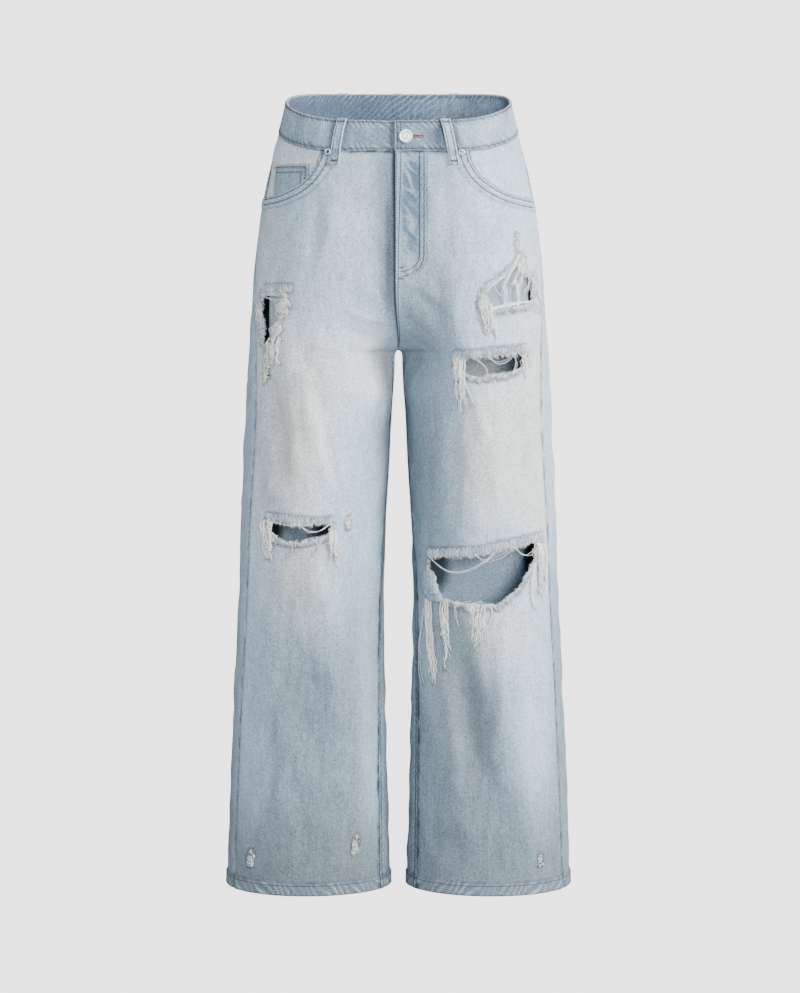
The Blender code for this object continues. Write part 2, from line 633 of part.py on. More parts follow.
# ---- Back pockets -------------------------------------------------------------------------
def add_back_pockets():
    """Patch pockets with a pointed bottom on both back panels."""
    for side, word in ((1, "left"), (-1, "right")):
        pocket = layer("back_pocket_" + word, side, -1, BACK_POCKET_BLOCK, SEAM_GAP + CLOTH,
                       CLOTH, "denim")
        keep_inside(pocket, mirrored(side, BACK_POCKET_OUTLINE))


# ---- Belt loops ---------------------------------------------------------------------------
def add_loop(loop):
    """A strip sewn at both ends that stands off the waistband for a belt."""
    side, face, top_x = loop["side"], loop["face"], loop["top_x"]
    top_turn = turn_at(side, face, top_x, 0.0)
    start = float(rim_height(top_turn)) + LOOP_TOP
    seam = float(waist_seam(top_turn))
    end = seam - LOOP_BOTTOM
    rest = BAND_LIFT + LOOP_REST
    profile = ((start, rest), (start - LOOP_BAR, rest), (start - 2 * LOOP_BAR, LOOP_LIFT),
               (seam, LOOP_LIFT), (seam - LOOP_BAR, LOOP_REST), (end, LOOP_REST))
    outer = []
    inner = []
    for height, lift in profile:
        share = (start - height) / (start - end)
        x = top_x + (loop["bottom_x"] - top_x) * share
        turn = turn_at(side, face, x, height)
        middle = body(side, height, turn)
        normal = outward(side, height, turn)
        across = np.cross(normal, (0, 0, 1))
        across /= np.linalg.norm(across)
        outer.append([middle + normal * (lift + LOOP_WALL) + across * LOOP_WIDTH * s
                      for s in (-0.5, 0.5)])
        inner.append([middle + normal * lift + across * LOOP_WIDTH * s
                      for s in (-0.5, 0.5)])
    add_wall(loop["name"], np.array(outer), np.array(inner), "denim")


def add_loops():
    """Two loops at the front, two at the back and one at the centre back."""
    for loop in named_rows(LOOP_COLUMNS, LOOPS):
        add_loop(loop)


# ---- Hardware -----------------------------------------------------------------------------
def turned(name, profile, place, normal, segments):
    """A solid of revolution from a (radius, distance) profile, set on a surface."""
    mesh_data = bmesh.new()
    rings = []
    for radius, distance in profile:
        ring = []
        for i in range(segments):
            angle = 2 * math.pi * i / segments
            ring.append(mesh_data.verts.new((radius * math.cos(angle),
                                             radius * math.sin(angle), distance)))
        rings.append(ring)
    mesh_data.faces.new(rings[0][::-1])
    mesh_data.faces.new(rings[-1])
    for low, high in zip(rings, rings[1:]):
        for i in range(segments):
            j = (i + 1) % segments
            mesh_data.faces.new((low[i], low[j], high[j], high[i]))
    turn = Vector((0, 0, 1)).rotation_difference(Vector(normal))
    matrix = Matrix.Translation(Vector(place)) @ turn.to_matrix().to_4x4()
    bmesh.ops.transform(mesh_data, matrix=matrix, verts=mesh_data.verts)
    return add_object(name, mesh_data, "metal")


def seat(panel, x, height):
    """Place and normal where a line from in front meets a panel's own flat faces."""
    tree = BVHTree.FromPolygons([vertex.co for vertex in panel.data.vertices],
                                [face.vertices for face in panel.data.polygons])
    place, normal, _, _ = tree.ray_cast((x, -CUTTER_REACH, height), (0, 1, 0))
    return place, normal


def add_hardware():
    """The shank button, which sits on the underlap, and two rivets."""
    turn = turn_at(1, 1, BUTTON_X, BUTTON_Z)
    place = body(1, BUTTON_Z, turn)
    normal = outward(1, BUTTON_Z, turn)
    foot = BAND_LIFT - BAND_WALL - BAND_OVERLAP_GAP + SEAM_GAP
    face = BAND_LIFT + BUTTON_LIFT
    top = face + BUTTON_THICK
    rim = BUTTON_RADIUS - BUTTON_EDGE
    profile = ((SHANK_RADIUS, foot), (SHANK_RADIUS, face), (rim, face),
               (BUTTON_RADIUS, face + BUTTON_EDGE), (BUTTON_RADIUS, top - BUTTON_EDGE),
               (rim, top))
    turned("waist_button", profile, place, normal, BUTTON_FACETS)
    for rivet in named_rows(RIVET_COLUMNS, RIVETS):
        side, x = rivet["side"], rivet["x"]
        height = float(waist_seam(turn_at(side, 1, x, 0.0))) - RIVET_DROP
        panel = bpy.data.objects["front_" + ("left" if side > 0 else "right") + "_panel"]
        place, normal = seat(panel, side * x, height)
        profile = ((RIVET_RADIUS, SEAM_GAP), (RIVET_RADIUS, SEAM_GAP + RIVET_THICK / 2),
                   (RIVET_RADIUS - RIVET_THICK, SEAM_GAP + RIVET_THICK))
        turned(rivet["name"], profile, place, normal, RIVET_FACETS)


# ---- Fringes ------------------------------------------------------------------------------
def add_fringes():
    """Plain flat solids of the reach of the hanging threads."""
    rows = grid_rows()
    for fringe in named_rows(FRINGE_COLUMNS, FRINGES):
        top_z, bottom_z = fringe["top_z"], fringe["bottom_z"]
        first = max(i for i, row in enumerate(rows) if min(row[:2]) > top_z)
        last = min(i for i, row in enumerate(rows) if max(row[:2]) < bottom_z)
        block = (first, last, 0, PANEL_SPANS)
        sheet = layer(fringe["name"], fringe["side"], 1, block, FRINGE_CLEAR + FRINGE_WALL,
                      FRINGE_WALL, "thread")
        inner_x, outer_x = fringe["inner_x"], fringe["outer_x"]
        taper = (outer_x - inner_x) * FRINGE_TAPER
        outline = ((inner_x, top_z), (outer_x, top_z), (outer_x - taper, bottom_z),
                   (inner_x + taper, bottom_z))
        keep_inside(sheet, mirrored(fringe["side"], outline))


def main():
    for old in list(bpy.data.objects):
        bpy.data.objects.remove(old, do_unlink=True)
    add_legs()
    add_waistband()
    add_fly()
    add_front_pockets()
    add_back_pockets()
    add_loops()
    add_hardware()
    add_fringes()


main()
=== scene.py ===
# %% [markdown]
# # Ripped wide-leg jeans
# This lesson dresses a imported CAD model of a pair of light-washed jeans. The jeans stand filled
# out, as on a wearer who isn't there. The CAD frame gives every piece its place, so the first
# step loads it. Everything here is in metres, the front faces -Y and the
# wearer's left is at +X.

# %% Load the frame
import math
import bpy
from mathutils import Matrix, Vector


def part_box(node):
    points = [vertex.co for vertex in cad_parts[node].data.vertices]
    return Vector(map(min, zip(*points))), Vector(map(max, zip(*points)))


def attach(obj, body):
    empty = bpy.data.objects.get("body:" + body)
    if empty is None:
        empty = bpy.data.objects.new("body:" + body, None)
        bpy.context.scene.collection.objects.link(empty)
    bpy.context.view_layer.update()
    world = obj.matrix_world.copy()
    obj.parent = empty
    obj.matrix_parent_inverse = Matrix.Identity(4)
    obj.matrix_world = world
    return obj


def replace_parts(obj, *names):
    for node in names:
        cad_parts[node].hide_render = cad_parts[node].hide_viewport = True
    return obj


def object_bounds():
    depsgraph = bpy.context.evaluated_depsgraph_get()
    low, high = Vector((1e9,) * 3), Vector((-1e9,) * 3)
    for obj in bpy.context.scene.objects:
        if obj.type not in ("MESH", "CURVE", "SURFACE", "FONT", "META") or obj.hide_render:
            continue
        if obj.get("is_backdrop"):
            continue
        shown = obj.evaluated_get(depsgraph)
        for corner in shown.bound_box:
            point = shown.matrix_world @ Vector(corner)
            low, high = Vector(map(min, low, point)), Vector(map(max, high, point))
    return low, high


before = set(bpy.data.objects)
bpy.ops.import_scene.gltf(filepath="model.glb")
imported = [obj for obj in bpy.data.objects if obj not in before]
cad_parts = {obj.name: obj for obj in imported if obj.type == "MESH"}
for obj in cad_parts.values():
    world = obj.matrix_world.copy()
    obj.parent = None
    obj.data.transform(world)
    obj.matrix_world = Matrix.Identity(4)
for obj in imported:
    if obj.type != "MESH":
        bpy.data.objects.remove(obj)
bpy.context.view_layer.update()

from types import SimpleNamespace

import bpy
import numpy as np
from mathutils import Vector
from mathutils.bvhtree import BVHTree
from mathutils.kdtree import KDTree

# %% [markdown]
# ## Tools for tables and curves
# Most of this lesson is tables and soft curves, so a few small tools come first. A table is
# written in thousandths, which are millimetres for a place and thousandths for a share. Two
# curves do nearly all the shaping: an ease from 0 to 1, and a bump that dies out on both sides.

# %% Tools
WHOLE = ("side", "face", "count", "copies")
ALL = slice(None)


def thousandths(item):
    """Numbers written in thousandths, in any nesting; words stay as they are."""
    if isinstance(item, tuple):
        return tuple(thousandths(part) for part in item)
    return item if isinstance(item, str) else item / 1000


def table(columns, rows):
    """The rows of a table as objects; a side, a face or a count isn't in thousandths."""
    return [SimpleNamespace(**{key: item if key in WHOLE else thousandths(item)
                               for key, item in zip(columns.split(), row)}) for row in rows]


def smooth(value):
    """Ease from 0 to 1."""
    value = np.clip(value, 0, 1)
    return value * value * (3 - 2 * value)


def bump(distance, width):
    """A rounded ridge: 1 at distance 0 and nearly nothing from twice the width."""
    return np.exp(-(distance / width) ** 2)


def between(start, end, share):
    """The value at a share of the way from start to end."""
    return start + (end - start) * share


def walked(points, axis=0):
    """Distance walked along lines of points, starting at 0."""
    steps = np.linalg.norm(np.diff(points, axis=axis), axis=-1)
    return np.insert(np.cumsum(steps, axis=axis), 0, 0, axis=axis)


def steps(count):
    """Even shares from 0 to 1, as one row."""
    return np.linspace(0, 1, count)[None, :]


# %% [markdown]
# ## The garment's form
# Real jeans are flat pieces sewn into two tubes. Filled out, each leg has a smooth cross-section
# at every height, so the form is a stack of sections with a curve through each column of the
# table. The same table shapes the CAD solids, so the fine cloth made here lies exactly on them.
# A place on the form is a side (+1 left, -1 right), a height and a turn in degrees round the leg.

# %% Sections of the form
CLOTH = 0.0015
CROTCH = -0.302
FRONT_CURVE = 0.095
BACK_CURVE = 0.150
CROTCH_ROUNDING = 0.006
LEG_BLEND = 0.060
OUTER_ROUND = 0.92
FLY_EDGE = -0.0045
FLY_LAP = 0.0012
FLY_LAP_WIDTH = 0.045
FLY_FADE = 0.080
HEM_LINE = -1.007
HEM_HEIGHT = 0.016
# Lengths in millimetres, and the last two columns in degrees.
SECTION_COLUMNS = ("height outer front back front_x back_x front_mid back_mid gap inner_y "
                   "outseam inseam").split()
SECTIONS = np.array((
    (40, 141, 103, 98, 50, 50, 103, 98, 4, 10, 0, 0),
    (20, 146.3, 104.5, 99, 50, 50, 104.5, 99, 4, 10, 0, 0),
    (-20, 156.2, 108, 106, 55, 55, 108, 104.5, 4, 10, 0, 0),
    (-67, 167.7, 112, 114, 62, 65, 111.5, 112, 4, 10, 2, 0),
    (-119, 178.3, 115.5, 125, 70, 75, 114.5, 121, 4, 10, 5, 0),
    (-164, 184.3, 117.5, 131, 76, 82, 115.5, 124, 4, 10, 10, 0),
    (-216, 190, 117.5, 133, 83, 88, 114, 122, 4, 10, 17, 0),
    (-269, 193.6, 115, 129, 90, 94, 110, 114, 4, 10, 25, 0),
    (-302, 195.7, 113, 125, 94, 97, 108, 110, 4.2, 8, 29, 0),
    (-335, 198, 110.5, 120, 98, 100, 106, 106, 6.2, 6, 32, 0),
    (-380, 200.7, 107, 114, 102, 104, 103, 102, 9.8, 4, 35, 0),
    (-453, 204.4, 103, 107, 107, 109, 100, 100, 13.2, 2, 35, 3),
    (-539, 208.1, 99, 101, 112, 113, 97, 98, 17.4, 0, 33, 9),
    (-632, 211.2, 97, 97, 115, 116, 95, 95, 19.2, -2, 32, 15),
    (-739, 217.1, 96, 95, 118, 118, 94, 93, 17.7, -5, 31, 19),
    (-846, 222.3, 96, 94, 119, 119, 94, 92, 15.2, -8, 30, 22),
    (-954, 226.6, 96, 92, 119, 119, 94, 90, 12.2, -11, 29, 24),
    (-1007, 228.6, 96.5, 91, 119, 119, 94.5, 89, 10.7, -12, 29, 25),
))[::-1] / ((1000,) * 10 + (1, 1))


def section_value(name, height):
    """Read one column of SECTIONS at any height, as a smooth curve through its rows."""
    heights, values = SECTIONS[:, 0], SECTIONS[:, SECTION_COLUMNS.index(name)]
    slopes = np.gradient(values, heights)
    height = np.clip(height, heights[0], heights[-1])
    below = np.clip(np.searchsorted(heights, height) - 1, 0, len(heights) - 2)
    step = heights[below + 1] - heights[below]
    s = (height - heights[below]) / step
    start = (1 + 2 * s) * (1 - s) ** 2 * values[below] + s * (1 - s) ** 2 * step * slopes[below]
    end = s * s * (3 - 2 * s) * values[below + 1] + s * s * (s - 1) * step * slopes[below + 1]
    return start + end


# %% [markdown]
# ## Folds and creases
# Worn denim hangs in long soft folds below the thigh and knee, and it keeps short sharper
# creases at the hips and crotch. A sculptor would push them in by hand. Here each fold is one
# row of a table for its side and face, so it is easy to move: a line from top to bottom, how
# wide, and how deep (below 0 is a trough, above 0 a ridge). The first table holds the largest
# folds, which the CAD solids have too.

# %% Largest folds
FOLDS = {key: table("top_x top_z bottom_x bottom_z width depth", rows) for key, rows in {
    (1, 1): (
        (60, -560, 118, -960, 22, -7.5), (50, -640, 90, -990, 20, 4.5),
        (120, -660, 168, -980, 22, 5.5), (166, -330, 152, -600, 20, -4),
        (110, -300, 120, -520, 26, 4),),
    (-1, 1): (
        (160, -560, 98, -900, 22, -6), (88, -580, 52, -960, 24, 5), (110, -320, 120, -540, 26, 4),
        (164, -300, 142, -500, 18, -4), (112, -80, 106, -230, 14, -2.5),),
    (1, -1): (
        (70, -300, 112, -620, 26, -6), (140, -560, 90, -960, 26, -7),),
    (-1, -1): (
        (78, -320, 120, -600, 26, -6), (132, -600, 96, -980, 26, -7),),
}.items()}


def fold_relief(side, face, x, height):
    """Add up the folds that reach a place on one face of one leg."""
    total = np.zeros_like(x)
    for (fold_side, fold_face), folds in FOLDS.items():
        here = (face == fold_face) * (side == fold_side)
        for fold in folds:
            down = np.clip((fold.top_z - height) / (fold.top_z - fold.bottom_z), 0, 1)
            across = bump(x - between(fold.top_x, fold.bottom_x, down), fold.width)
            total += here * fold.depth * across * np.sin(math.pi * down) ** 2
    return total


# %% A point of the form
def body(side, height, turn):
    """Points of the garment's outer face; height and turn are arrays or numbers."""
    height, turn = np.broadcast_arrays(np.asarray(height, float), np.asarray(turn, float))
    above = height > CROTCH
    wrapped = (turn + 180) % 360 - 180
    turn = np.where(above | (np.abs(turn) <= 180), np.clip(turn, -180, 180), wrapped)
    is_front = turn >= 0
    face = np.where(is_front, 1, -1)
    around = np.abs(turn)

    def of_face(ending):
        return np.where(is_front, section_value("front" + ending, height),
                        section_value("back" + ending, height))

    reach, peak, mid = of_face(""), of_face("_x"), of_face("_mid")
    rise = np.where(is_front, FRONT_CURVE, BACK_CURVE)
    inner_y = section_value("inner_y", height)

    angle = np.radians(np.minimum(around, 90))
    outer_x = peak + (section_value("outer", height) - peak) * np.cos(angle) ** OUTER_ROUND
    outer_y = reach * np.sin(angle) ** OUTER_ROUND

    hang = np.sqrt(1 - np.clip((CROTCH + rise - height) / rise, 0, 1) ** 2)
    edge_fade = smooth((height - CROTCH) / FLY_FADE)
    edge_x = side * FLY_EDGE * edge_fade * is_front
    parting = np.clip((CROTCH - height) / CROTCH_ROUNDING, 0, 1)
    gap = section_value("gap", height) * np.sqrt(1 - (1 - parting) ** 2)
    end_x = np.where(above, edge_x, gap)
    end_y = np.where(above, -face * mid * hang + inner_y * (1 - hang), inner_y)
    q = np.clip((around - 90) / 90, 0, 1)
    legs = smooth((CROTCH - height) / LEG_BLEND)
    under = np.where(above, 1 - hang, 1)
    along = (1 - legs) * q + legs * np.sin(q * math.pi / 2)
    drop = ((1 - under) * (1 - np.cos(math.pi * q)) / 2
            + under * (1 - np.cos(q * math.pi / 2)))
    x = np.where(around <= 90, outer_x, between(peak, end_x, along))
    y = np.where(around <= 90, -face * outer_y, between(-face * reach, end_y, drop))
    relief = fold_relief(side, face, x, height)
    lap = smooth(1 - x / FLY_LAP_WIDTH) * edge_fade * FLY_LAP * (side > 0) * is_front
    y = y - face * (relief * np.sin(np.radians(around)) + lap)
    return np.stack((side * x, y, height), axis=-1)


TURN_NUDGE = 0.4
HEIGHT_NUDGE = 0.0004


def outward(side, height, turn):
    """Unit normals of the outer face."""
    across = body(side, height, turn + TURN_NUDGE) - body(side, height, turn - TURN_NUDGE)
    up = body(side, height + HEIGHT_NUDGE, turn) - body(side, height - HEIGHT_NUDGE, turn)
    normal = -side * np.cross(across, up)
    return normal / np.linalg.norm(normal, axis=-1, keepdims=True)


# %% The waist's rim and seam
BAND_HEIGHT = 0.040
BAND_TAPER = 0.0025
RIM_SIDE = 0.0250
RIM_SLOPE = 0.2355
RIM_BOW = 0.870


def rim_height(turn):
    """Height of the waist's rim, which tilts forward."""
    y = body(1, 0.0, turn)[..., 1]
    return RIM_SIDE + RIM_SLOPE * y - RIM_BOW * y * y


def band_taper(turn):
    """How much narrower the waistband is at a turn, which is most at the front."""
    return BAND_TAPER * np.sin(np.radians(np.clip(turn, 0, 180)) / 2) ** 2


def waist_seam(turn):
    """Height of the seam under the waistband."""
    return rim_height(turn) - BAND_HEIGHT + band_taper(turn)


# %% [markdown]
# ## Fine cloth grids
# A leg panel is cut flat with a curved crotch edge, so its rows aren't level once it is sewn:
# the outseam and the centre seam start and end at different heights. Each grid row therefore
# has one height at the outseam and another at the inner edge. Rows about 3 mm apart are fine
# enough to carry puckers and creases as real geometry, and the distances from both edges are
# kept, because stitches and puckers follow the seams and not the axes.

# %% Rows of the cloth
ROWS = (
    (-44, -88, -40), (-70, -129, -78), (-100, -169, -115), (-130, -207, -152),
    (-160, -243.3, -209.4), (-188, -274.2, -258.1), (-214, -294.8, -290.6), (-238, -301.2, -300.8),
    (-262, -302, -302), (-286, -303.5, -303.5), (-310, -308, -308), (-336, -320, -320),
    (-364, -343, -343), (-394, -375, -375), (-426, -412, -412), (-460, -450, -450),
    (-496, -490, -490), (-532, -530, -530),
)
YOKE_ROW = 2
TILT_FADE = 0.120
LAST_ROW = len(ROWS) + 1


def row_heights():
    """Heights of all rows at the outseam, the centre front and the centre back."""
    waist = tuple(float(waist_seam(turn)) for turn in (0, 180, -180))
    return np.array((waist, *thousandths(ROWS), (HEM_LINE, HEM_LINE, HEM_LINE)))


def cloth_grid(side, face, first, last, step, columns):
    """A fine grid on one face of one leg, with its seams' distances."""
    rows = row_heights()[first:last + 1]
    parts = []
    for top, bottom in zip(rows, rows[1:]):
        count = max(1, round(float(np.abs(top - bottom).max()) / step))
        parts.append(between(top, bottom, (np.arange(count) / count)[:, None]))
    rows = np.concatenate((*parts, rows[-1:]))
    outer_z = rows[:, :1]
    inner_z = rows[:, 1:2] if face > 0 else rows[:, 2:3]
    fraction = steps(columns + 1)
    base = outer_z + (inner_z - outer_z) * fraction ** 3
    outseam, inseam = section_value("outseam", base), section_value("inseam", base)
    if face > 0:
        turn = outseam + (180 - inseam - outseam) * fraction
    else:
        turn = outseam - (180 + inseam + outseam) * fraction
    fade = np.maximum(0, 1 - (waist_seam(0) - outer_z) / TILT_FADE)
    own_tilt = waist_seam(turn) - waist_seam(outseam)
    end_tilt = waist_seam(180.0 * face) - waist_seam(outseam)
    height = base + (own_tilt - end_tilt * fraction ** 3) * fade
    place = body(side, height, turn)
    from_out = walked(place, 1)
    return SimpleNamespace(
        side=side, face=face, x=side * place[..., 0], z=height, turn=turn, place=place,
        normal=outward(side, height, turn), from_out=from_out,
        from_in=from_out[:, -1:] - from_out, along=walked(place),
        below_waist=waist_seam(turn) - height)


FRONT_STEP, FRONT_COLUMNS = 0.0029, 108
BACK_STEP, BACK_COLUMNS = 0.0043, 70
SIDES = ((1, "left"), (-1, "right"))
grids, fronts, backs, yokes = {}, {}, {}, {}
for side, word in SIDES:
    fronts[side] = cloth_grid(side, 1, 0, LAST_ROW, FRONT_STEP, FRONT_COLUMNS)
    backs[side] = cloth_grid(side, -1, YOKE_ROW, LAST_ROW, BACK_STEP, BACK_COLUMNS)
    yokes[side] = cloth_grid(side, -1, 0, YOKE_ROW, BACK_STEP, BACK_COLUMNS)
    grids.update({"front_" + word + "_panel": fronts[side],
                  "back_" + word + "_panel": backs[side], "yoke_" + word: yokes[side]})
for name, grid in grids.items():
    print(name, "rows and columns", grid.turn.shape)

# %% [markdown]
# ## Creases, puckers and dark lines
# Small creases come from a second table, each a bent line with a width and a depth. Puckers are
# the ripples beside every stitched seam: the thread is shorter than the cloth, which ropes up
# along the stitches. They are a slanted wave that dies out a few millimetres from the seam. The
# same wave is kept as an attribute, because washing pales the high spots and leaves the low
# ones blue. Dark lines are kept too: seam lines at the stitch rows, and painted shade and seam
# dirt beside the seams' edges and grooves.

# %% Small creases
CREASE_STRENGTH = 1.15
CREASES = {key: table("x0 z0 x1 z1 bend width depth", rows) for key, rows in {
    (-1, 1): (
        (104, -90, 112, -190, 4, 8, -1.6), (84, -75, 90, -170, 4, 10, 1.4),
        (10, -85, 15, -260, 3, 13, -5), (38, -205, 12, -255, 3, 6, -2),
        (76, -243, 20, -262, -4, 6, 1.6), (85, -262, 18, -290, -4, 7, -1.4),
        (105, -285, 26, -318, -6, 9, 1.6), (173, -305, 144, -475, 4, 7.5, -4.2),
        (123, -315, 82, -490, -6, 9, 3), (103, -320, 70, -500, -6, 7, -2.2),
        (48, -330, 40, -480, 4, 10, 1.6), (144, -330, 130, -470, 3, 9, 2),
        (126, -590, 112, -760, 3, 9, -2.2), (93, -590, 84, -800, 4, 11, 2.6),
        (68, -570, 56, -760, 4, 11, -1.4), (50, -690, 56, -880, 4, 12, 2),
        (146, -700, 150, -960, -3, 12, 2.2), (64, -850, 70, -985, 2, 7, -1.8),
        (128, -860, 118, -985, 2, 9, -1.4),),
    (1, 1): (
        (47, -85, 50, -180, 3, 9, 1.8), (64, -90, 64, -200, 2, 10, -1.6),
        (90, -100, 130, -150, 6, 10, 1.2), (12, -222, 62, -285, -10, 8, -3.2),
        (14, -252, 66, -312, -10, 7, 2.8), (16, -282, 60, -345, -8, 7.5, -2.4),
        (38, -180, 56, -260, -3, 8, -1.6), (74, -215, 73, -300, 2, 8, 1.8),
        (88, -340, 118, -450, -4, 8.5, 2.6), (72, -350, 74, -500, 3, 11, -2.6),
        (133, -360, 124, -520, 3, 9, 2.2), (158, -345, 160, -520, 3, 8, -3),
        (42, -370, 36, -540, 3, 12, -2), (70, -640, 100, -850, -5, 11, -3.2),
        (54, -700, 80, -900, -4, 10, 2.8), (135, -640, 138, -860, 4, 11, 2.6),
        (115, -650, 128, -780, 4, 9, -1.6), (176, -640, 176, -840, 3, 10, -2),
        (156, -740, 162, -960, 2, 11, 1.8), (48, -850, 52, -985, 2, 8, -1.6),
        (130, -880, 126, -990, 2, 9, -1.4),),
    (1, -1): (
        (30, -300, 90, -345, -10, 9, -3), (30, -335, 100, -385, -10, 9, 2.6),
        (26, -370, 80, -430, -8, 8, -2.2), (70, -520, 150, -560, -10, 11, -3.4),
        (60, -560, 150, -590, -10, 11, 2.6), (50, -262, 130, -290, 12, 10, -2.6),
        (60, -440, 56, -620, 4, 13, -3), (112, -330, 120, -500, 4, 12, 2.8),
        (60, -680, 86, -900, -4, 12, -3), (125, -640, 90, -860, 5, 12, 3),
        (160, -640, 150, -900, 4, 12, -2.6),),
    (-1, -1): (
        (52, -268, 128, -300, 12, 10, -2.4), (56, -450, 60, -640, 4, 13, -2.8),
        (118, -340, 114, -520, 4, 12, 2.6), (132, -690, 118, -930, -4, 12, -2.8),
        (30, -305, 86, -350, -10, 9, -3), (28, -345, 94, -400, -10, 9, 2.4),
        (26, -385, 78, -440, -8, 8, -2), (66, -535, 144, -570, -10, 11, -3.2),
        (70, -575, 156, -600, -10, 11, 2.6), (110, -650, 80, -880, 5, 12, 3),
        (156, -650, 144, -920, 4, 12, -2.6),),
}.items()}


def crease_relief(side, face, x, z):
    """Height of the small creases at places given as distance from the middle and height."""
    total = np.zeros_like(x)
    for crease in CREASES[side, face]:
        run_x, run_z = crease.x1 - crease.x0, crease.z1 - crease.z0
        length = np.hypot(run_x, run_z)
        along = ((x - crease.x0) * run_x + (z - crease.z0) * run_z) / length ** 2
        beside = ((x - crease.x0) * run_z - (z - crease.z0) * run_x) / length
        inside = np.clip(along, 0, 1)
        beside = beside - crease.bend * 4 * inside * (1 - inside)
        ends = np.sin(math.pi * inside) ** 1.2
        total += crease.depth * ends * bump(beside, crease.width)
    return CREASE_STRENGTH * total


def crumple(place, wavelength, seed, waves=18):
    """A smooth random wave field with a spread of about 1."""
    draw = np.random.default_rng(seed)
    total = np.zeros(place.shape[:-1])
    for _ in range(waves):
        direction = draw.normal(size=3)
        direction /= np.linalg.norm(direction)
        speed = 2 * math.pi / (wavelength * draw.uniform(0.7, 1.5))
        total += np.sin(place @ direction * speed + draw.uniform(0, 2 * math.pi))
    return total / math.sqrt(waves / 2)


# %% Seams, puckers and hems on a panel
ROPE_PITCH = 0.0085       # distance between two puckers along a seam
HEM_RAISE = 0.0016
HEM_ROW = HEM_LINE + HEM_HEIGHT - 0.0025


def pucker(distance, along, reach, pitch=ROPE_PITCH, slant=0.8):
    """A slanted wave beside a seam, from -1 to 1, uneven in pitch and strength."""
    wobble = np.sin(along * 71) + np.sin(along * 43 + 1.7) + np.sin(along * 157 + 0.6)
    wave = np.sin(2 * math.pi * (along + slant * distance) / pitch + 1.9 * wobble)
    strength = 0.25 + 0.75 * np.abs(np.sin(along * 37 + 2.1) * np.sin(along * 91 + 0.4))
    return wave * strength * bump(distance, reach)


def most(*values):
    """The largest of several arrays at each point."""
    return np.maximum.reduce(np.broadcast_arrays(*values))


def least(*values):
    """The smallest of several arrays at each point."""
    return np.minimum.reduce(np.broadcast_arrays(*values))


def add_relief(name, grid):
    """Move a panel's points out and in, and note its seam lines and painted shade lines."""
    z, outseam, inseam = grid.z, grid.from_out, grid.from_in
    quiet = np.minimum(outseam, inseam)
    calm = smooth(quiet / 0.018) * smooth((z - HEM_LINE - HEM_HEIGHT) / 0.03)
    calm = calm * smooth(grid.below_waist / 0.02)
    relief = crease_relief(grid.side, grid.face, grid.x, z) * calm
    relief = relief + calm * 0.00055 * crumple(grid.place, 0.045, 11)
    ridged = 1 - np.abs(crumple(grid.place * (1, 1, 0.45), 0.030, 23))
    relief = relief + calm * 0.00045 * ridged
    grid.soft = relief

    rope = np.zeros_like(z)
    below = smooth((CROTCH + 0.03 - z) / 0.05)
    # outseam: a pressed-open seam, a groove with soft ropes on both sides
    relief = relief - 0.0010 * bump(outseam, 0.0016)
    relief = relief + 0.0007 * bump(outseam - 0.007, 0.0050)
    wave = pucker(outseam, z, 0.008, 0.011)
    rope = rope + 0.7 * wave
    relief = relief + 0.00018 * wave
    # inseam: a felled seam with two rows of stitches on the front
    relief = relief - 0.0009 * bump(inseam, 0.0014) * below
    felled = below * (grid.face > 0)
    relief = relief + felled * 0.0008 * smooth((0.0095 - inseam) / 0.002)
    wave = pucker(inseam, z, 0.0105) * below
    rope = rope + wave
    relief = relief + 0.00028 * wave
    # hem: two layers more, roped along its stitches
    above = z - HEM_LINE
    on_hem = smooth((HEM_HEIGHT + 0.0007 - above) / 0.0014)
    wave = pucker(above * 0.5, outseam, 0.012, 0.0100, 1.5) * (0.35 + 1.05 * on_hem)
    grid.rope = np.where(above < 0.03, rope + wave * smooth((0.030 - above) / 0.012), rope)
    relief = relief + on_hem * (HEM_RAISE + 0.00035 * wave)
    grid.relief = relief - 0.0005 * bump(above - HEM_HEIGHT + 0.0025, 0.0009)
    # Dark lines: the stitch rows are seam lines; the lines above the hem's edge, beside the felled
    # inseam, in the outseam's groove and under the waistband are painted shade with seam dirt.
    rows = (bump(inseam - 0.0022, 0.0011) + bump(inseam - 0.0078, 0.0011)) * felled
    lines = most(0.62 * bump(above - HEM_HEIGHT - 0.0009, 0.0009),
                 bump(inseam - 0.0102, 0.0013) * felled, 0.7 * bump(outseam, 0.0016),
                 1.2 * bump(grid.below_waist - 0.0014, 0.0018),
                 rows + 0.7 * bump(above - HEM_HEIGHT + 0.0025, 0.0008))
    grid.line = 0.80 * lines * (0.85 + 0.35 * crumple(grid.place, 0.020, 71))
    grid.seam_blue = 0.55 * felled * smooth((0.0100 - inseam) / 0.002) * smooth(
        0.5 + crumple(grid.place * (1, 1, 0.6), 0.030, 73))
    grid.hem_grime = 0.82 * on_hem
    print(name, "relief from", round(float(grid.relief.min()) * 1000, 2), "to",
          round(float(grid.relief.max()) * 1000, 2), "mm")


for name, grid in grids.items():
    add_relief(name, grid)
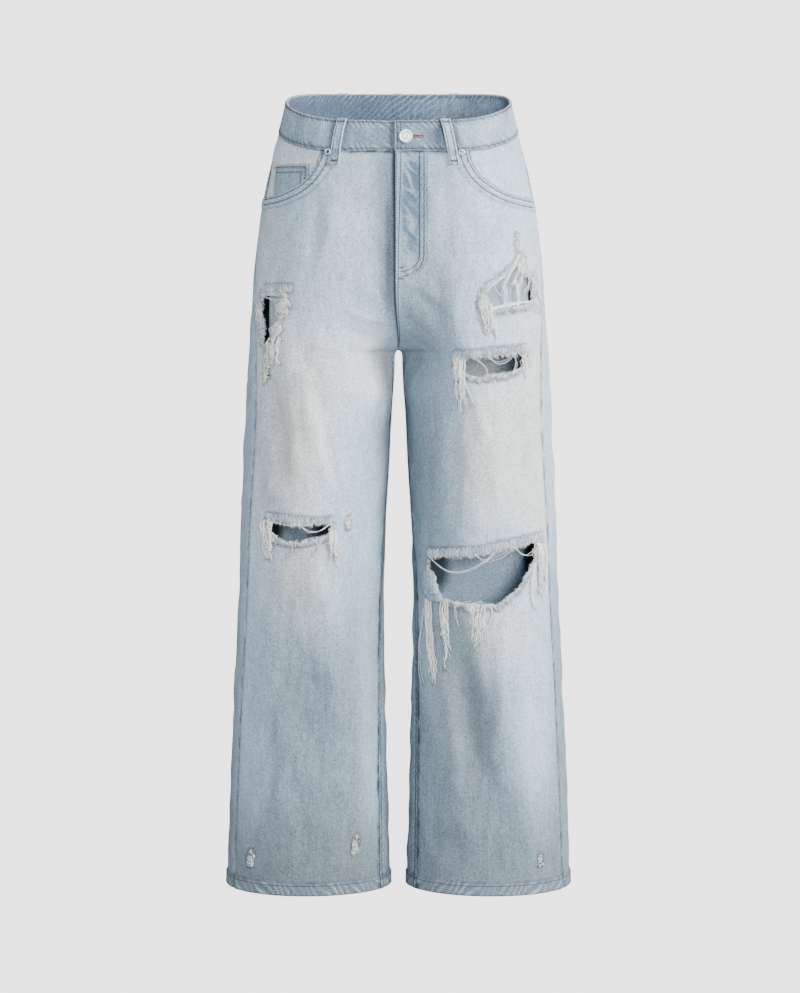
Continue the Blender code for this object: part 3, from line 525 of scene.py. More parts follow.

# %% [markdown]
# ## Washes, fades and painted light
# The factory sands the thighs and knees, so they turn from blue to a warm off-white, while the
# fly, the inner legs and the inside keep more blue. A painter would brush a mask for this. The
# masks here are soft oval spots, one row each, added up into attributes on the mesh. The denim
# material reads them and breaks them up with its own grain, so no edge looks airbrushed. A few
# spots paint light on lit places and shade in troughs instead of a wash.

# %% Wash tables
BASE_FADE = ((0.02, 0.50), (-0.10, 0.56), (-0.25, 0.50), (-0.35, 0.42), (-0.50, 0.38),
             (-0.62, 0.34), (-0.72, 0.22), (-0.90, 0.16), (-1.01, 0.10))
# Most spots are wash, dirt and unfaded blue, but some paint light and shade. Painted light: on the
# left leg's front the fade rows at x 180, z -420 and x 182, z -740 (its lit outer side) and x 54,
# z -745 (a lit fold ridge); on its back x 110, z -330 and x 155, z -570 (the inside seen through
# the rips) and x 200, z -400 (the lit outer side). Painted shade: the grime rows at x 12, z -140
# on the right front (the trough beside the fly), x 84, z -770 and x 80, z -730 on the left front
# (fold troughs on the shin) and x 120, z -535 on the right back (the inside seen through the right
# knee rip).
SPOTS = {key: table("x z reach_x reach_z lean amount", rows) for key, rows in {
    ("fade", -1, 1): (
        (128, -400, 58, 150, -60, 970), (150, -330, 30, 80, 0, 450), (60, -330, 50, 60, 100, 450),
        (32, -315, 34, 50, 0, 750), (60, -160, 50, 100, 0, 300), (120, -600, 42, 85, 0, 880),
        (60, -520, 40, 120, 0, 250), (34, -760, 16, 160, 0, 450), (186, -430, 18, 150, 0, 400),
        (190, -740, 30, 220, 0, 450), (20, -330, 22, 45, 0, 450), (166, -190, 28, 90, 0, 500),
        (25, -338, 14, 30, 0, 500),),
    ("fade", 1, 1): (
        (114, -430, 44, 120, 50, 950), (140, -270, 50, 80, 0, 400), (122, -665, 46, 55, 0, 900),
        (90, -165, 70, 110, 0, 280), (165, -430, 30, 130, 0, 450), (182, -740, 22, 180, 0, 550),
        (150, -700, 30, 120, 0, 300), (180, -200, 30, 120, 0, 600), (180, -420, 40, 170, 0, 980),
        (54, -745, 18, 100, -200, 500),),
    ("fade", 1, -1): (
        (105, -200, 60, 70, 0, 400), (110, -420, 50, 130, 0, 450), (110, -330, 60, 60, 0, 440),
        (155, -570, 35, 50, 0, 360), (200, -400, 30, 160, 0, 600),),
    ("fade", -1, -1): (
        (105, -200, 60, 70, 0, 400), (110, -420, 50, 130, 0, 450), (205, -560, 50, 330, 0, 160),),
    ("deep", -1, 1): (
        (8, -150, 14, 110, 0, 550), (26, -430, 20, 130, 0, 100), (115, -1000, 120, 30, 0, 160),),
    ("deep", 1, 1): (
        (17, -113, 14, 64, 0, 980), (16, -180, 12, 50, 0, 60), (22, -430, 26, 130, 0, 200),),
    ("grime", -1, 1): (
        (12, -140, 20, 110, 0, 840), (135, -150, 45, 90, 0, 260), (70, -190, 50, 90, 0, 160),
        (110, -760, 90, 170, 0, 460), (115, -990, 140, 100, 0, 980), (50, -78, 65, 38, 0, 320),
        (138, -690, 32, 150, 0, 500), (22, -690, 20, 130, 0, 620), (160, -430, 28, 110, 0, 420),
        (188, -975, 60, 40, 0, 200),),
    ("grime", 1, 1): (
        (24, -440, 28, 150, 0, 560), (64, -470, 30, 150, 0, 560), (84, -770, 46, 130, 0, 880),
        (22, -800, 28, 200, 0, 200), (110, -985, 140, 95, 0, 800), (34, -90, 40, 50, 0, 400),
        (6, -210, 10, 130, 0, 250), (42, -235, 34, 90, 0, 720), (80, -730, 26, 120, -200, 850),),
    ("grime", -1, -1): (
        (120, -535, 50, 60, 0, 600), (205, -560, 50, 330, 0, 220), (110, -960, 140, 120, 0, 400),),
    ("grime", 1, -1): (
        (110, -960, 140, 120, 0, 400),),
}.items()}


def wash(mask, grid):
    """One wash mask from 0 to 1 at every point of a grid."""
    left = np.ones_like(grid.x)
    if mask == "fade":
        heights, base = np.array(BASE_FADE)[::-1].T
        left = left * (1 - np.interp(grid.z, heights, base))
    for spot in SPOTS.get((mask, grid.side, grid.face), ()):
        across = (grid.x - spot.x - spot.lean * (grid.z - spot.z)) / spot.reach_x
        down = (grid.z - spot.z) / spot.reach_z
        away = np.sqrt(across ** 2 + down ** 2)
        left = left * (1 - spot.amount * smooth(1.25 - 0.75 * away))
    return 1 - left


for name, grid in grids.items():
    grid.fade = wash("fade", grid)
    grid.deep = np.maximum(wash("deep", grid), grid.seam_blue)
    grid.grime = np.maximum(wash("grime", grid), grid.hem_grime)
    print(name, "mean fade", round(float(grid.fade.mean()), 2))

# %% [markdown]
# ## Rips
# A rip is a hole with a fuzzy edge, not a clean window. The holes here are cut out of the fine
# triangles along the outline, with small random bites, so the edge isn't smooth. Cutting
# triangles keeps the rest of the panel untouched, which a Boolean on a thin shell often doesn't.
# The loose threads come later, as pieces of their own.

# %% Rip outlines
RIPS = table("name side outline", (
    ("slit_thigh", -1, ((144, -224.5), (172, -226.5), (176, -246), (172, -268), (174, -292),
     (166, -296), (158, -280), (150, -262), (143, -240))),
    ("nick_thigh_a", -1, ((165, -303), (170, -303), (171, -309), (166, -310))),
    ("nick_thigh_b", -1, ((165, -314), (169, -314), (169, -321), (166, -321))),
    ("nick_thigh_c", -1, ((166, -326), (169, -326), (170, -336), (167, -337))),
    ("knee_right", -1, ((86, -520), (96, -520.2), (108, -520.5), (120, -522.5), (132, -522.5),
     (146, -520.5), (165, -518), (167, -531), (163, -535.5), (155, -541.5), (144, -546.5),
     (135, -546.2), (122, -545.5), (110, -541), (100, -540.5), (92, -538), (86, -532))),
    ("nick_hem_right_a", -1, ((190.5, -953), (192.5, -952), (195.5, -970), (194.5, -972))),
    ("nick_hem_right_b", -1, ((52.5, -933), (54.5, -930), (58, -944), (60, -956), (58.5, -956))),
    ("nick_knee", -1, ((64, -515), (66, -515), (65.5, -528), (64, -527.5))),
    ("hip_left", 1, ((153.5, -178), (157.5, -182), (162.5, -206), (172, -208.5), (171.2, -225),
     (170, -240), (158, -247), (136, -245.5), (120, -249), (110, -244), (106, -232), (108, -224),
     (112, -218), (122, -212), (134, -203), (143, -196), (149, -190))),
    ("nick_hip_a", 1, ((149, -152), (150.8, -152.5), (150.5, -155.5), (148.8, -155))),
    ("nick_hip_b", 1, ((149.4, -161.5), (151.2, -162), (151.2, -166), (149.4, -165.5))),
    ("thigh_left", 1, ((71.5, -310), (90, -307.5), (110, -306), (136, -304.5), (163, -302),
     (161, -314), (157, -323.5), (147, -328), (136, -330.5), (124, -331.2), (113, -332),
     (104, -335), (96, -335.5), (83, -329.5), (75, -320))),
    ("knee_left", 1, ((41, -566.5), (70, -564), (100, -561), (117, -558), (133, -554),
     (158, -549.5), (182, -544.5), (181.5, -552), (181, -560), (173, -575), (164, -591),
     (160, -600), (154, -607.5), (141, -618), (127, -626.5), (115, -627.2), (102, -626.5),
     (80, -626.2), (59, -622.5), (50, -611), (42, -596), (38, -584.5))),
    ("nick_hem_left", 1, ((183.6, -956), (184.8, -956.2), (184.6, -970), (183.4, -969.5))),))
EDGE_BITE = 0.0011        # how far the edge's random bites go


def edge_distance(outline, x, z):
    """Distance from a closed outline, below 0 inside it."""
    corners = np.array(outline)
    nearest = np.full(x.shape, 9.0)
    inside = np.zeros(x.shape, bool)
    for (x0, z0), (x1, z1) in zip(corners, np.roll(corners, -1, axis=0)):
        run_x, run_z = x1 - x0, z1 - z0
        t = np.clip(((x - x0) * run_x + (z - z0) * run_z) / (run_x ** 2 + run_z ** 2), 0, 1)
        nearest = np.minimum(nearest, np.hypot(x - x0 - t * run_x, z - z0 - t * run_z))
        at = x0 + (z - z0) * run_x / (run_z if run_z else 1e-12)
        inside ^= ((z0 > z) != (z1 > z)) & (x < at)
    return np.where(inside, -nearest, nearest)


# %% Pocket mouths
MOUTHS = {row.side: row for row in table("side centre_x centre_z width drop", (
    (1, 177, -42, 90, 66), (-1, 177, -42, 80, 63)))}


def mouth_distance(side, x, z):
    """Rough distance outside a pocket mouth's curve, below 0 in the opening."""
    mouth = MOUTHS[side]
    across, down = (mouth.centre_x - x) / mouth.width, (mouth.centre_z - z) / mouth.drop
    size = (mouth.width + mouth.drop) / 2
    opening = np.where(across < 0, mouth.centre_z - mouth.drop - z,
                       (np.hypot(across, down) - 1) * size)
    return np.where((z > mouth.centre_z) & (across > 0), (across - 1) * size, opening)


# %% The rivets' places and the fly's outline
RIVET_RISE = 0.0050       # the rivets follow the mouth's corner, a little above the form's
RIVETS_AT = {}
for side, word in SIDES:
    low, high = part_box("rivet_" + word)
    RIVETS_AT[side] = (abs(low[0] + high[0]) / 2, (low[2] + high[2]) / 2 + RIVET_RISE)
print("rivets at", RIVETS_AT)
FLY_WIDTH = 0.0350
FLY_BOTTOM = -0.1790
FLY_CURVE = 0.030


def fly_distance(x, z):
    """Distance inside the curved outline of the fly's stitching, from the wearer's left."""
    bend = np.clip((FLY_BOTTOM - z) / FLY_CURVE, 0, 1)
    edge = FLY_WIDTH * np.sqrt(np.clip(1 - bend ** 2, 0, 1))
    return np.where(z < FLY_BOTTOM - FLY_CURVE, -0.05, edge - x)


# %% Relief at mouths, rips and the fly
def shape_mouth(grid):
    """Round a pocket mouth's lip; returns stitch rows and painted shade past the lip."""
    mouth = mouth_distance(grid.side, grid.x, grid.z)
    lip = smooth((0.0150 - mouth) / 0.003) * (mouth > -0.002)
    turn_round = np.arctan2(grid.z + 0.042, grid.x - 0.177) * 0.075
    wave = pucker(mouth - 0.006, turn_round, 0.010, 0.0080)
    grid.relief += lip * 0.0009 + 0.00025 * wave - 0.0008 * bump(mouth - 0.015, 0.002)
    grid.rope += wave * 0.9
    grid.raw = 1.3 * bump(mouth, 0.0016)
    grid.keep = np.minimum(1.0, mouth)
    return most(0.50 * bump(mouth - 0.0162, 0.0011), 0.66 * bump(mouth - 0.0022, 0.0010),
                0.66 * bump(mouth - 0.0095, 0.0010))


def shape_fly(grid):
    """Raise and crumple the fly's lap; returns stitch rows and painted shade outside them."""
    x, z = grid.x, grid.z
    inside = fly_distance(x, z)
    raised = smooth(inside / 0.003) * smooth((z - CROTCH - 0.06) / 0.02)
    wave = pucker(inside - 0.003, z, 0.009, 0.0075, 1.3)
    grid.relief += raised * 0.0007 + 0.00035 * wave
    grid.rope += wave
    crumpled = raised * smooth(1 - np.abs(x - 0.014) / 0.014)
    turned_place = np.stack((z + 0.9 * x, 0.35 * (x - z), 0 * x), axis=-1)
    ridged = 1 - 1.3 * np.abs(crumple(turned_place, 0.020, 61))
    grid.relief += crumpled * 0.0006 * ridged
    grid.rope += crumpled * 0.9 * np.clip(ridged, -1, 1)
    edge = grid.from_in * (z > CROTCH + 0.01) + 9 * (z <= CROTCH + 0.01)
    grid.relief += 0.0010 * smooth((0.012 - edge) / 0.004)
    return most(0.50 * (bump(inside + 0.0010, 0.0012) * (z > -0.250)),
                0.66 * bump(inside - 0.0025, 0.0010) * (z > -0.2),
                0.66 * bump(inside - 0.0082, 0.0010) * (z > -0.2))


def shape_rip(grid, rip):
    """Cut one rip and curl its edge; returns the painted shade round its edge."""
    nick, at_hem = rip.name.startswith("nick"), rip.name.startswith("nick_hem")
    away = edge_distance(rip.outline, grid.x, grid.z)
    bites = crumple(grid.place, 0.0045, 31) * EDGE_BITE * (0.3 if nick else 1.0)
    grid.keep = np.minimum(grid.keep, away + bites)
    near = bump(np.clip(away, 0, 1), 0.0045)
    grid.raw = np.maximum(grid.raw, near * (0.35 if at_hem else 1.0))
    grid.relief += near * 0.0008 * crumple(grid.place, 0.012, 37)
    grid.relief += 0.0009 * bump(away - 0.002, 0.004)
    if nick:
        return at_hem * 0.60 * bump(away - 0.0036, 0.0011)
    broken = np.clip(0.5 + 0.8 * crumple(grid.place, 0.007, 77), 0, 1)
    return 0.42 * broken * bump(away - 0.0040, 0.0028)


for side, grid in fronts.items():
    rivet_x, rivet_z = RIVETS_AT[side]
    # Painted shade: a dark line along the centre front where the fly's lap meets the other panel,
    # and a dark ring round each rivet.
    at_seam = bump(grid.from_in, 0.0034 if side < 0 else 0.0010)
    ring = bump(np.hypot(grid.x - rivet_x, grid.z - rivet_z) - 0.0043, 0.0011)
    found = [grid.line, 1.1 * at_seam * (grid.z > CROTCH), 0.9 * ring, shape_mouth(grid)]
    if side > 0:
        found.append(shape_fly(grid))
    found += [shape_rip(grid, rip) for rip in RIPS if rip.side == side]
    grid.line = np.clip(most(*found), 0, 1)
    print("side", side, "has", sum(rip.side == side for rip in RIPS), "rips and nicks")

# %% [markdown]
# ## Making the cloth pieces
# A helper turns a grid into a mesh, cuts the holes and gives it the thickness of denim with a
# Solidify modifier. Solidify is the usual way to give a shell its thickness: the cloth stays one
# editable surface, and its inner copy can take the second material slot, the bluer wrong side of
# the denim.

# %% Cut a triangle mesh along a field
def grid_triangles(rows, columns):
    """Two triangles for every square of a grid of points."""
    corner = (np.arange(rows - 1)[:, None] * columns + np.arange(columns - 1)[None, :]).ravel()
    first = np.stack((corner, corner + columns, corner + 1), axis=1)
    second = np.stack((corner + 1, corner + columns, corner + columns + 1), axis=1)
    return np.concatenate((first, second))


def clip(points, triangles, field, layers):
    """Keep what lies where field is above 0; layers are values that are cut along with it."""
    kept = field > 0
    count = kept[triangles].sum(axis=1)
    pairs = []
    for wanted, odd in ((1, True), (2, False)):
        chosen = triangles[count == wanted]
        lone = (kept[chosen] == odd).argmax(axis=1)
        pairs.append(np.stack([chosen[np.arange(len(chosen)), (lone + k) % 3]
                               for k in range(3)], axis=1))
    one, two = pairs
    edges = np.concatenate([pair[:, ends] for pair in pairs for ends in ((0, 1), (0, 2))])
    ordered, where = np.unique(np.sort(edges, axis=1), axis=0, return_inverse=True)
    a, b = ordered.T
    share = (field[a] / (field[a] - field[b]))[:, None]
    cuts = np.split(where.ravel() + len(points),
                    (len(one), 2 * len(one), 2 * len(one) + len(two)))
    layers = {key: np.concatenate((value, between(value[a], value[b], share[:, 0])))
              for key, value in layers.items()}
    points = np.concatenate((points, between(points[a], points[b], share)))
    triangles = np.concatenate((
        triangles[count == 3], np.stack((one[:, 0], cuts[0], cuts[1]), axis=1),
        np.stack((cuts[2], two[:, 1], two[:, 2]), axis=1),
        np.stack((cuts[2], two[:, 2], cuts[3]), axis=1)))
    used, numbers = np.unique(triangles, return_inverse=True)
    return points[used], numbers.reshape(-1, 3), {k: v[used] for k, v in layers.items()}


# %% Turn points and faces into a piece
made_pieces = {}


def add_object(name, data):
    """Put a new object into the scene."""
    added = bpy.data.objects.new(name, data)
    bpy.context.scene.collection.objects.link(added)
    return added


def make_piece(name, points, faces, materials, layers=None, kinds=None):
    """A smooth-shaded mesh object that rides on the root body."""
    mesh = bpy.data.meshes.new(name)
    mesh.from_pydata(points.tolist(), [], faces if isinstance(faces, list) else faces.tolist())
    for key, value in (layers or {}).items():
        layer = mesh.attributes.new(key, "FLOAT", "POINT")
        layer.data.foreach_set("value", np.asarray(value, np.float32))
    mesh.shade_smooth()
    for material in materials:
        mesh.materials.append(material)
    if kinds:
        mesh.polygons.foreach_set("material_index", kinds)
    piece = add_object(name, mesh)
    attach(piece, "root")
    made_pieces[name] = piece
    return piece


def thicken(piece, thickness):
    """Give a shell its thickness inwards; the inner copy takes the next material."""
    wall = piece.modifiers.new("cloth_thickness", "SOLIDIFY")
    wall.thickness = thickness
    wall.offset = -1
    wall.use_even_offset = False
    wall.material_offset = 1
    wall.material_offset_rim = 0


# %% [markdown]
# ## Denim
# Denim is a twill: coloured warp threads run down the leg and white weft threads run across
# behind them. Stone-washing bares the white cores, so the colour is a blue that varies from
# thread to thread, with pale slubs down the leg and soft clouds of fading. The material mixes
# these from noise in object space, stretched along the threads. A fine diagonal wave gives the
# twill's ridges, and a slower noise gives the crumpled hand of washed cotton.

# %% Node helpers
class Look:
    """A new material, with short ways to add shader nodes to it."""

    def __init__(self, name):
        self.material = bpy.data.materials.new(name)
        self.material.use_nodes = True
        self.tree = self.material.node_tree
        self.shader = self.tree.nodes["Principled BSDF"]

    def fill(self, node, inputs):
        """Set a node's inputs to values, or link them to the sockets that they come from."""
        for key, value in inputs.items():
            if isinstance(value, bpy.types.NodeSocket):
                self.tree.links.new(value, node.inputs[key])
            else:
                node.inputs[key].default_value = value

    def node(self, kind, inputs, **settings):
        """Add a shader node."""
        node = self.tree.nodes.new("ShaderNode" + kind)
        for key, value in settings.items():
            setattr(node, key, value)
        self.fill(node, inputs)
        return node

    def mixed(self, factor, first, second, blend="MIX"):
        """Mix two colours."""
        return self.node("Mix", {0: factor, 6: first, 7: second}, data_type="RGBA",
                         blend_type=blend).outputs[2]

    def maths(self, operation, first, second, clamp=False):
        """One Math node."""
        return self.node("Math", {0: first, 1: second}, operation=operation,
                         use_clamp=clamp).outputs[0]

    def times(self, first, second, clamp=False):
        """A product."""
        return self.maths("MULTIPLY", first, second, clamp)

    def plus(self, total, *others):
        """A sum of two or more."""
        for other in others:
            total = self.maths("ADD", total, other)
        return total

    def centred(self, value, amount):
        """A 0 to 1 value turned into one around 0, times an amount."""
        return self.times(self.maths("SUBTRACT", value, 0.5), amount)

    def grain(self, scale, detail=2.0, rough=0.5, stretch=(1, 1, 1)):
        """Noise in object space; scale is in features for each metre."""
        place = self.node("TexCoord", {}).outputs["Object"]
        place = self.node("Mapping", {"Vector": place, "Scale": stretch}).outputs[0]
        return self.node("TexNoise", {"Vector": place, "Scale": scale, "Detail": detail,
                                      "Roughness": rough}).outputs["Fac"]

    def attribute(self, name):
        """A mesh attribute as a number."""
        return self.node("Attribute", {}, attribute_name=name).outputs["Fac"]

    def bumps(self, strength, distance, height, **under):
        """A Bump node over another one's normal, if there is one."""
        return self.node("Bump", {"Strength": strength, "Distance": distance,
                                  "Height": height, **under}).outputs[0]


# %% Denim material
WASHED = (0.178, 0.242, 0.300, 1)
SKY = (0.455, 0.595, 0.720, 1)
PALE = (0.595, 0.700, 0.780, 1)
BARE_COTTON = (0.740, 0.755, 0.725, 1)
INDIGO = (0.070, 0.145, 0.270, 1)
# Grey tone for the grime attribute: real dirt at the hems, and painted shade in fold troughs,
# beside the fly, under the waistband's tab and beside the belt loops.
GRIME_AND_SHADE_TONE = (0.145, 0.172, 0.188, 1)
ROPE_LIGHT = (0.600, 0.670, 0.720, 1)
# Painted shade: the near-black that inner_shade mixes into the wrong side inside the legs.
PAINTED_INSIDE_SHADE = (0.022, 0.026, 0.032, 1)
# Dark for the line attribute: seam lines at the stitch rows, and painted shade in grooves, under
# edges, round the rivets and beside loose threads.
SEAM_LINE_AND_SHADE_DARK = (0.030, 0.038, 0.052, 1)


def denim(name, washed=WASHED, fade_bias=0.0, inside=False):
    """Washed twill that reads the fade, deep, grime, rope, raw and line attributes."""
    look = Look(name)
    slub = look.grain(260, 3, 0.6, (1, 1, 0.12))
    thread = look.grain(1000, 2, 0.7, (1, 1, 0.35))
    weft = look.grain(800, 1, 0.6, (0.25, 0.25, 1.6))
    cloud = look.grain(15, 5, 0.65, (1, 1, 0.8))
    fleck = look.grain(150, 5, 0.75, (1, 1, 0.8))
    speckle = look.grain(520, 4, 0.9)
    deep = look.attribute("deep")
    fade = look.plus(look.attribute("fade"), fade_bias)
    fade = look.maths("SUBTRACT", fade, look.times(deep, 0.75))
    grainy = look.plus(look.centred(slub, 0.24), look.centred(cloud, 0.20),
                       look.centred(fleck, 0.45))
    ramp = look.node("ValToRGB", {"Fac": look.maths("ADD", fade, grainy, True)})
    ramp.color_ramp.elements[0].color = washed
    ramp.color_ramp.elements[1].color = BARE_COTTON
    for position, tone in ((0.58, SKY), (0.80, PALE)):
        ramp.color_ramp.elements.new(position).color = tone
    colour = ramp.outputs["Color"]
    blotchy = look.plus(deep, look.centred(fleck, 0.6))
    rope = look.attribute("rope")
    # The grime and line attributes darken for dirt and seam lines, and also paint shade.
    for amount, tone in (
            (look.times(blotchy, look.times(look.attribute("deep"), 0.55), True), INDIGO),
            (look.times(look.attribute("grime"), 0.75), GRIME_AND_SHADE_TONE),
            (look.times(rope, 0.60, True), ROPE_LIGHT),
            (look.times(rope, -0.50, True), INDIGO),
            (look.times(look.attribute("raw"), 0.45, True), BARE_COTTON),
            (look.attribute("line"), SEAM_LINE_AND_SHADE_DARK)):
        colour = look.mixed(amount, colour, tone)
    # inner_shade paints the shade inside the legs, seen through the rips, almost black.
    if inside:
        colour = look.mixed(look.attribute("inner_shade"), colour, PAINTED_INSIDE_SHADE)
    fine = look.plus(look.centred(thread, 0.95), look.centred(weft, 0.45),
                     look.centred(slub, 0.30), look.centred(speckle, 2.9), 1.0)
    shade = look.node("CombineColor", {0: fine, 1: fine, 2: fine}).outputs[0]

    place = look.node("TexCoord", {}).outputs["Object"]
    turned_place = look.node("Mapping", {"Vector": place, "Rotation": (0, 0.6, 0)}).outputs[0]
    twill = look.node("TexWave", {"Vector": turned_place, "Scale": 260.0, "Distortion": 1.5,
                                  "Detail": 1.0, "Detail Scale": 2.0}, bands_direction="X")
    weave = look.plus(look.times(twill.outputs["Fac"], 0.35), look.times(thread, 0.6),
                      look.times(speckle, 1.2))
    fine_bump = look.bumps(0.75, 0.0006, weave)
    hand = look.grain(75, 5, 0.62, (1, 1, 0.7))
    look.fill(look.shader, {
        "Base Color": look.mixed(1.0, colour, shade, "MULTIPLY"),
        "Roughness": look.plus(look.centred(slub, 0.12), 0.86), "Sheen Weight": 0.10,
        "Sheen Roughness": 0.5, "Specular IOR Level": 0.25,
        "Normal": look.bumps(0.80, 0.0030, hand, Normal=fine_bump)})
    return look.material


denim_face = denim("washed_denim")
denim_inside = denim("denim_wrong_side", (0.480, 0.580, 0.660, 1), 0.15, True)
denim_band = denim("waistband_denim", WASHED, 0.0)
denim_band_inside = denim("waistband_inside", (0.077, 0.121, 0.184, 1), -0.15)

# %% [markdown]
# ## Cotton, thread and metal
# Pocket bags are thin plain-weave cotton. Loose weft threads are bare cotton, twisted from
# fibres, a little rough and never quite one colour. The button is a polished shank button and
# the rivets are duller, with a dark burr in the middle.

# %% Other materials
def toned(colour, share):
    """A colour with less of each channel."""
    return tuple(channel * share for channel in colour) + (1,)


def cotton(name, colour, variation, scale):
    """Cotton cloth or thread with a slight change of tone along it."""
    look = Look(name)
    tone = look.grain(scale, 3, 0.6)
    fine = look.grain(1400, 1)
    blend = look.maths("ADD", look.times(tone, 1.4), look.centred(fine, 0.5), True)
    look.fill(look.shader, {
        "Base Color": look.mixed(blend, toned(colour, 1 - variation), toned(colour, 1)),
        "Roughness": 0.9, "Sheen Weight": 0.2, "Specular IOR Level": 0.2,
        "Normal": look.bumps(0.4, 0.0004, fine)})
    return look.material


def metal(name, colour, roughness, scratches, plating=1.0):
    """Plated metal with fine scratches; worn plating scatters some light."""
    look = Look(name)
    scratch = look.grain(2200, 3, 0.7, (1, 0.2, 1))
    look.fill(look.shader, {
        "Base Color": look.mixed(look.grain(420, 3), toned(colour, 0.93), toned(colour, 1)),
        "Metallic": plating,
        "Roughness": look.plus(look.centred(scratch, scratches), roughness),
        "Normal": look.bumps(0.05, 0.0001, scratch)})
    return look.material


pocketing = cotton("pocket_cotton", (0.330, 0.400, 0.460), 0.30, 60)
loose_thread = cotton("bare_weft_thread", (0.98, 0.98, 0.94), 0.16, 260)
blue_thread = cotton("blue_warp_thread", (0.500, 0.620, 0.730), 0.62, 520)
seam_thread = cotton("seam_thread", (0.052, 0.072, 0.100), 0.35, 300)
rim_thread = cotton("rim_thread", (0.170, 0.125, 0.110), 0.35, 300)
bartack_thread = cotton("bartack_thread", (0.340, 0.140, 0.055), 0.40, 500)
button_metal = metal("button_nickel", (0.99, 0.99, 0.97), 0.42, 0.03, 0.50)
rivet_metal = metal("rivet_metal", (0.96, 0.96, 0.94), 0.32, 0.12, 0.55)
burr_metal = metal("rivet_burr", (0.10, 0.10, 0.11), 0.50, 0.20)

# %% [markdown]
# ## Leg panels and yokes
# Each panel is one piece of cloth between its seams. The fly's left edge laps over the right
# front, so a little relief there lifts it. Shade is painted onto the back panels' wrong side,
# almost black towards the outseam behind the knees and the hip rips and in a corner of the left
# knee rip, where little light reaches inside the leg.

# %% Build the panels
LAYERS = ("fade", "deep", "grime", "rope", "raw", "line", "inner_shade")


def moved(grid, relief):
    """A grid's points, moved out along their normals."""
    return grid.place + grid.normal * relief[..., None]


def cloth_piece(node, grid, relief, layers, keep, wall=CLOTH,
                materials=(denim_face, denim_inside)):
    """Make one node's sheet from a grid, and cut away what lies where keep is below 0."""
    shape = grid.turn.shape
    points = moved(grid, relief).reshape(-1, 3)
    triangles = grid_triangles(*shape)
    if grid.side * grid.face > 0:
        triangles = triangles[:, ::-1]
    values = {key: np.broadcast_to(layers.get(key, 0.0), shape).ravel() for key in LAYERS}
    if keep is not None:
        points, triangles, values = clip(points, triangles, keep.ravel(), values)
    piece = make_piece("cloth_" + node, points, triangles, materials, values)
    thicken(piece, wall)
    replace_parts(piece, node)
    print(piece.name, len(triangles), "triangles before its thickness")


# Where painted shade starts on the back panels' wrong side at knee height, towards the outseam.
# Shade is also painted at the hips towards the outseam and in one corner of the left knee rip.
INNER_SHADES = {1: 0.167, -1: 0.156}
for name, grid in grids.items():
    if grid.face < 0:
        x, z = grid.x, grid.z
        at_knee = smooth((-0.46 - z) / 0.03) * smooth((z + 0.68) / 0.03)
        at_hip = smooth((-0.18 - z) / 0.03) * smooth((z + 0.40) / 0.03)
        shade = at_knee * smooth((x - INNER_SHADES[grid.side]) / 0.007)
        corner = np.hypot((x - 0.050) / 0.018, (z + 0.600) / 0.030) + 9 * (grid.side < 0)
        grid.inner_shade = most(shade, at_hip * smooth((x - 0.160) / 0.012),
                                0.9 * smooth(1.5 - corner))
    cloth_piece(name, grid, grid.relief, vars(grid), getattr(grid, "keep", None))

# %% [markdown]
# ## Waistband
# The waistband is a straight strip folded over the top of the panels and stitched along both
# edges. Its right end passes behind the left one and carries the button. Here it is one long
# grid that walks round the waist, with the overlap as a change of lift, so that it stays a single
# strip like the real one. The buttonhole is cut out of the outer end.

# %% Turn that reaches a distance from the middle
def turn_at(side, face, x, height):
    """The turn at which one side of the form is x away from the middle."""
    turns = np.linspace(0, 180, 721) * face
    reached = side * body(side, np.full(turns.shape, float(height)), turns)[..., 0]
    return float(np.interp(x, reached[::-1], turns[::-1]))


# %% Waistband path
BAND_WALL = 0.0030
BAND_LIFT = 0.0005
BAND_OVERLAP_GAP = 0.0012
BAND_ROWS = 28
SINK_TURNS = (105, 120, 135, 150, 165, 180)
SINK_SHARES = (0, 0.08, 0.35, 0.70, 0.95, 1)
under_lift = -(BAND_WALL + BAND_OVERLAP_GAP)
far_turns = np.concatenate((np.arange(120, 165, 1.5), np.arange(165, 180.1, 0.6)))
right_turns = np.concatenate((np.arange(173, 160, -0.8), np.arange(160, -180.1, -1.5)))
left_turns = np.concatenate((np.arange(-178.5, 165, 1.5), np.arange(165, 180.1, 0.5)))
band_turn = np.concatenate((far_turns, right_turns, left_turns))
on_left = np.ones((1, len(band_turn)), bool)
on_left[:, len(far_turns):-len(left_turns)] = False
band_lift = np.concatenate((np.full(len(far_turns), under_lift),
                            under_lift * np.interp(right_turns, SINK_TURNS, SINK_SHARES),
                            np.zeros(len(left_turns))))
band_share = np.linspace(0, 1, BAND_ROWS)[:, None]
band_rim = waist_seam(band_turn) + BAND_HEIGHT - band_taper(band_turn)
band_height = between(band_rim, waist_seam(band_turn) - 0.0010, band_share)
full_turn = np.broadcast_to(band_turn, band_height.shape)
band_place, band_normal = (np.where(on_left[..., None], shape(1, band_height, full_turn),
                                    shape(-1, band_height, full_turn))
                           for shape in (body, outward))
band_along = walked(band_place[0])[None, :]
band_x, band_y, band_z = np.moveaxis(band_place, -1, 0)
print("waistband", round(float(band_along[0, -1]), 3), "m long,", len(band_turn), "stations")

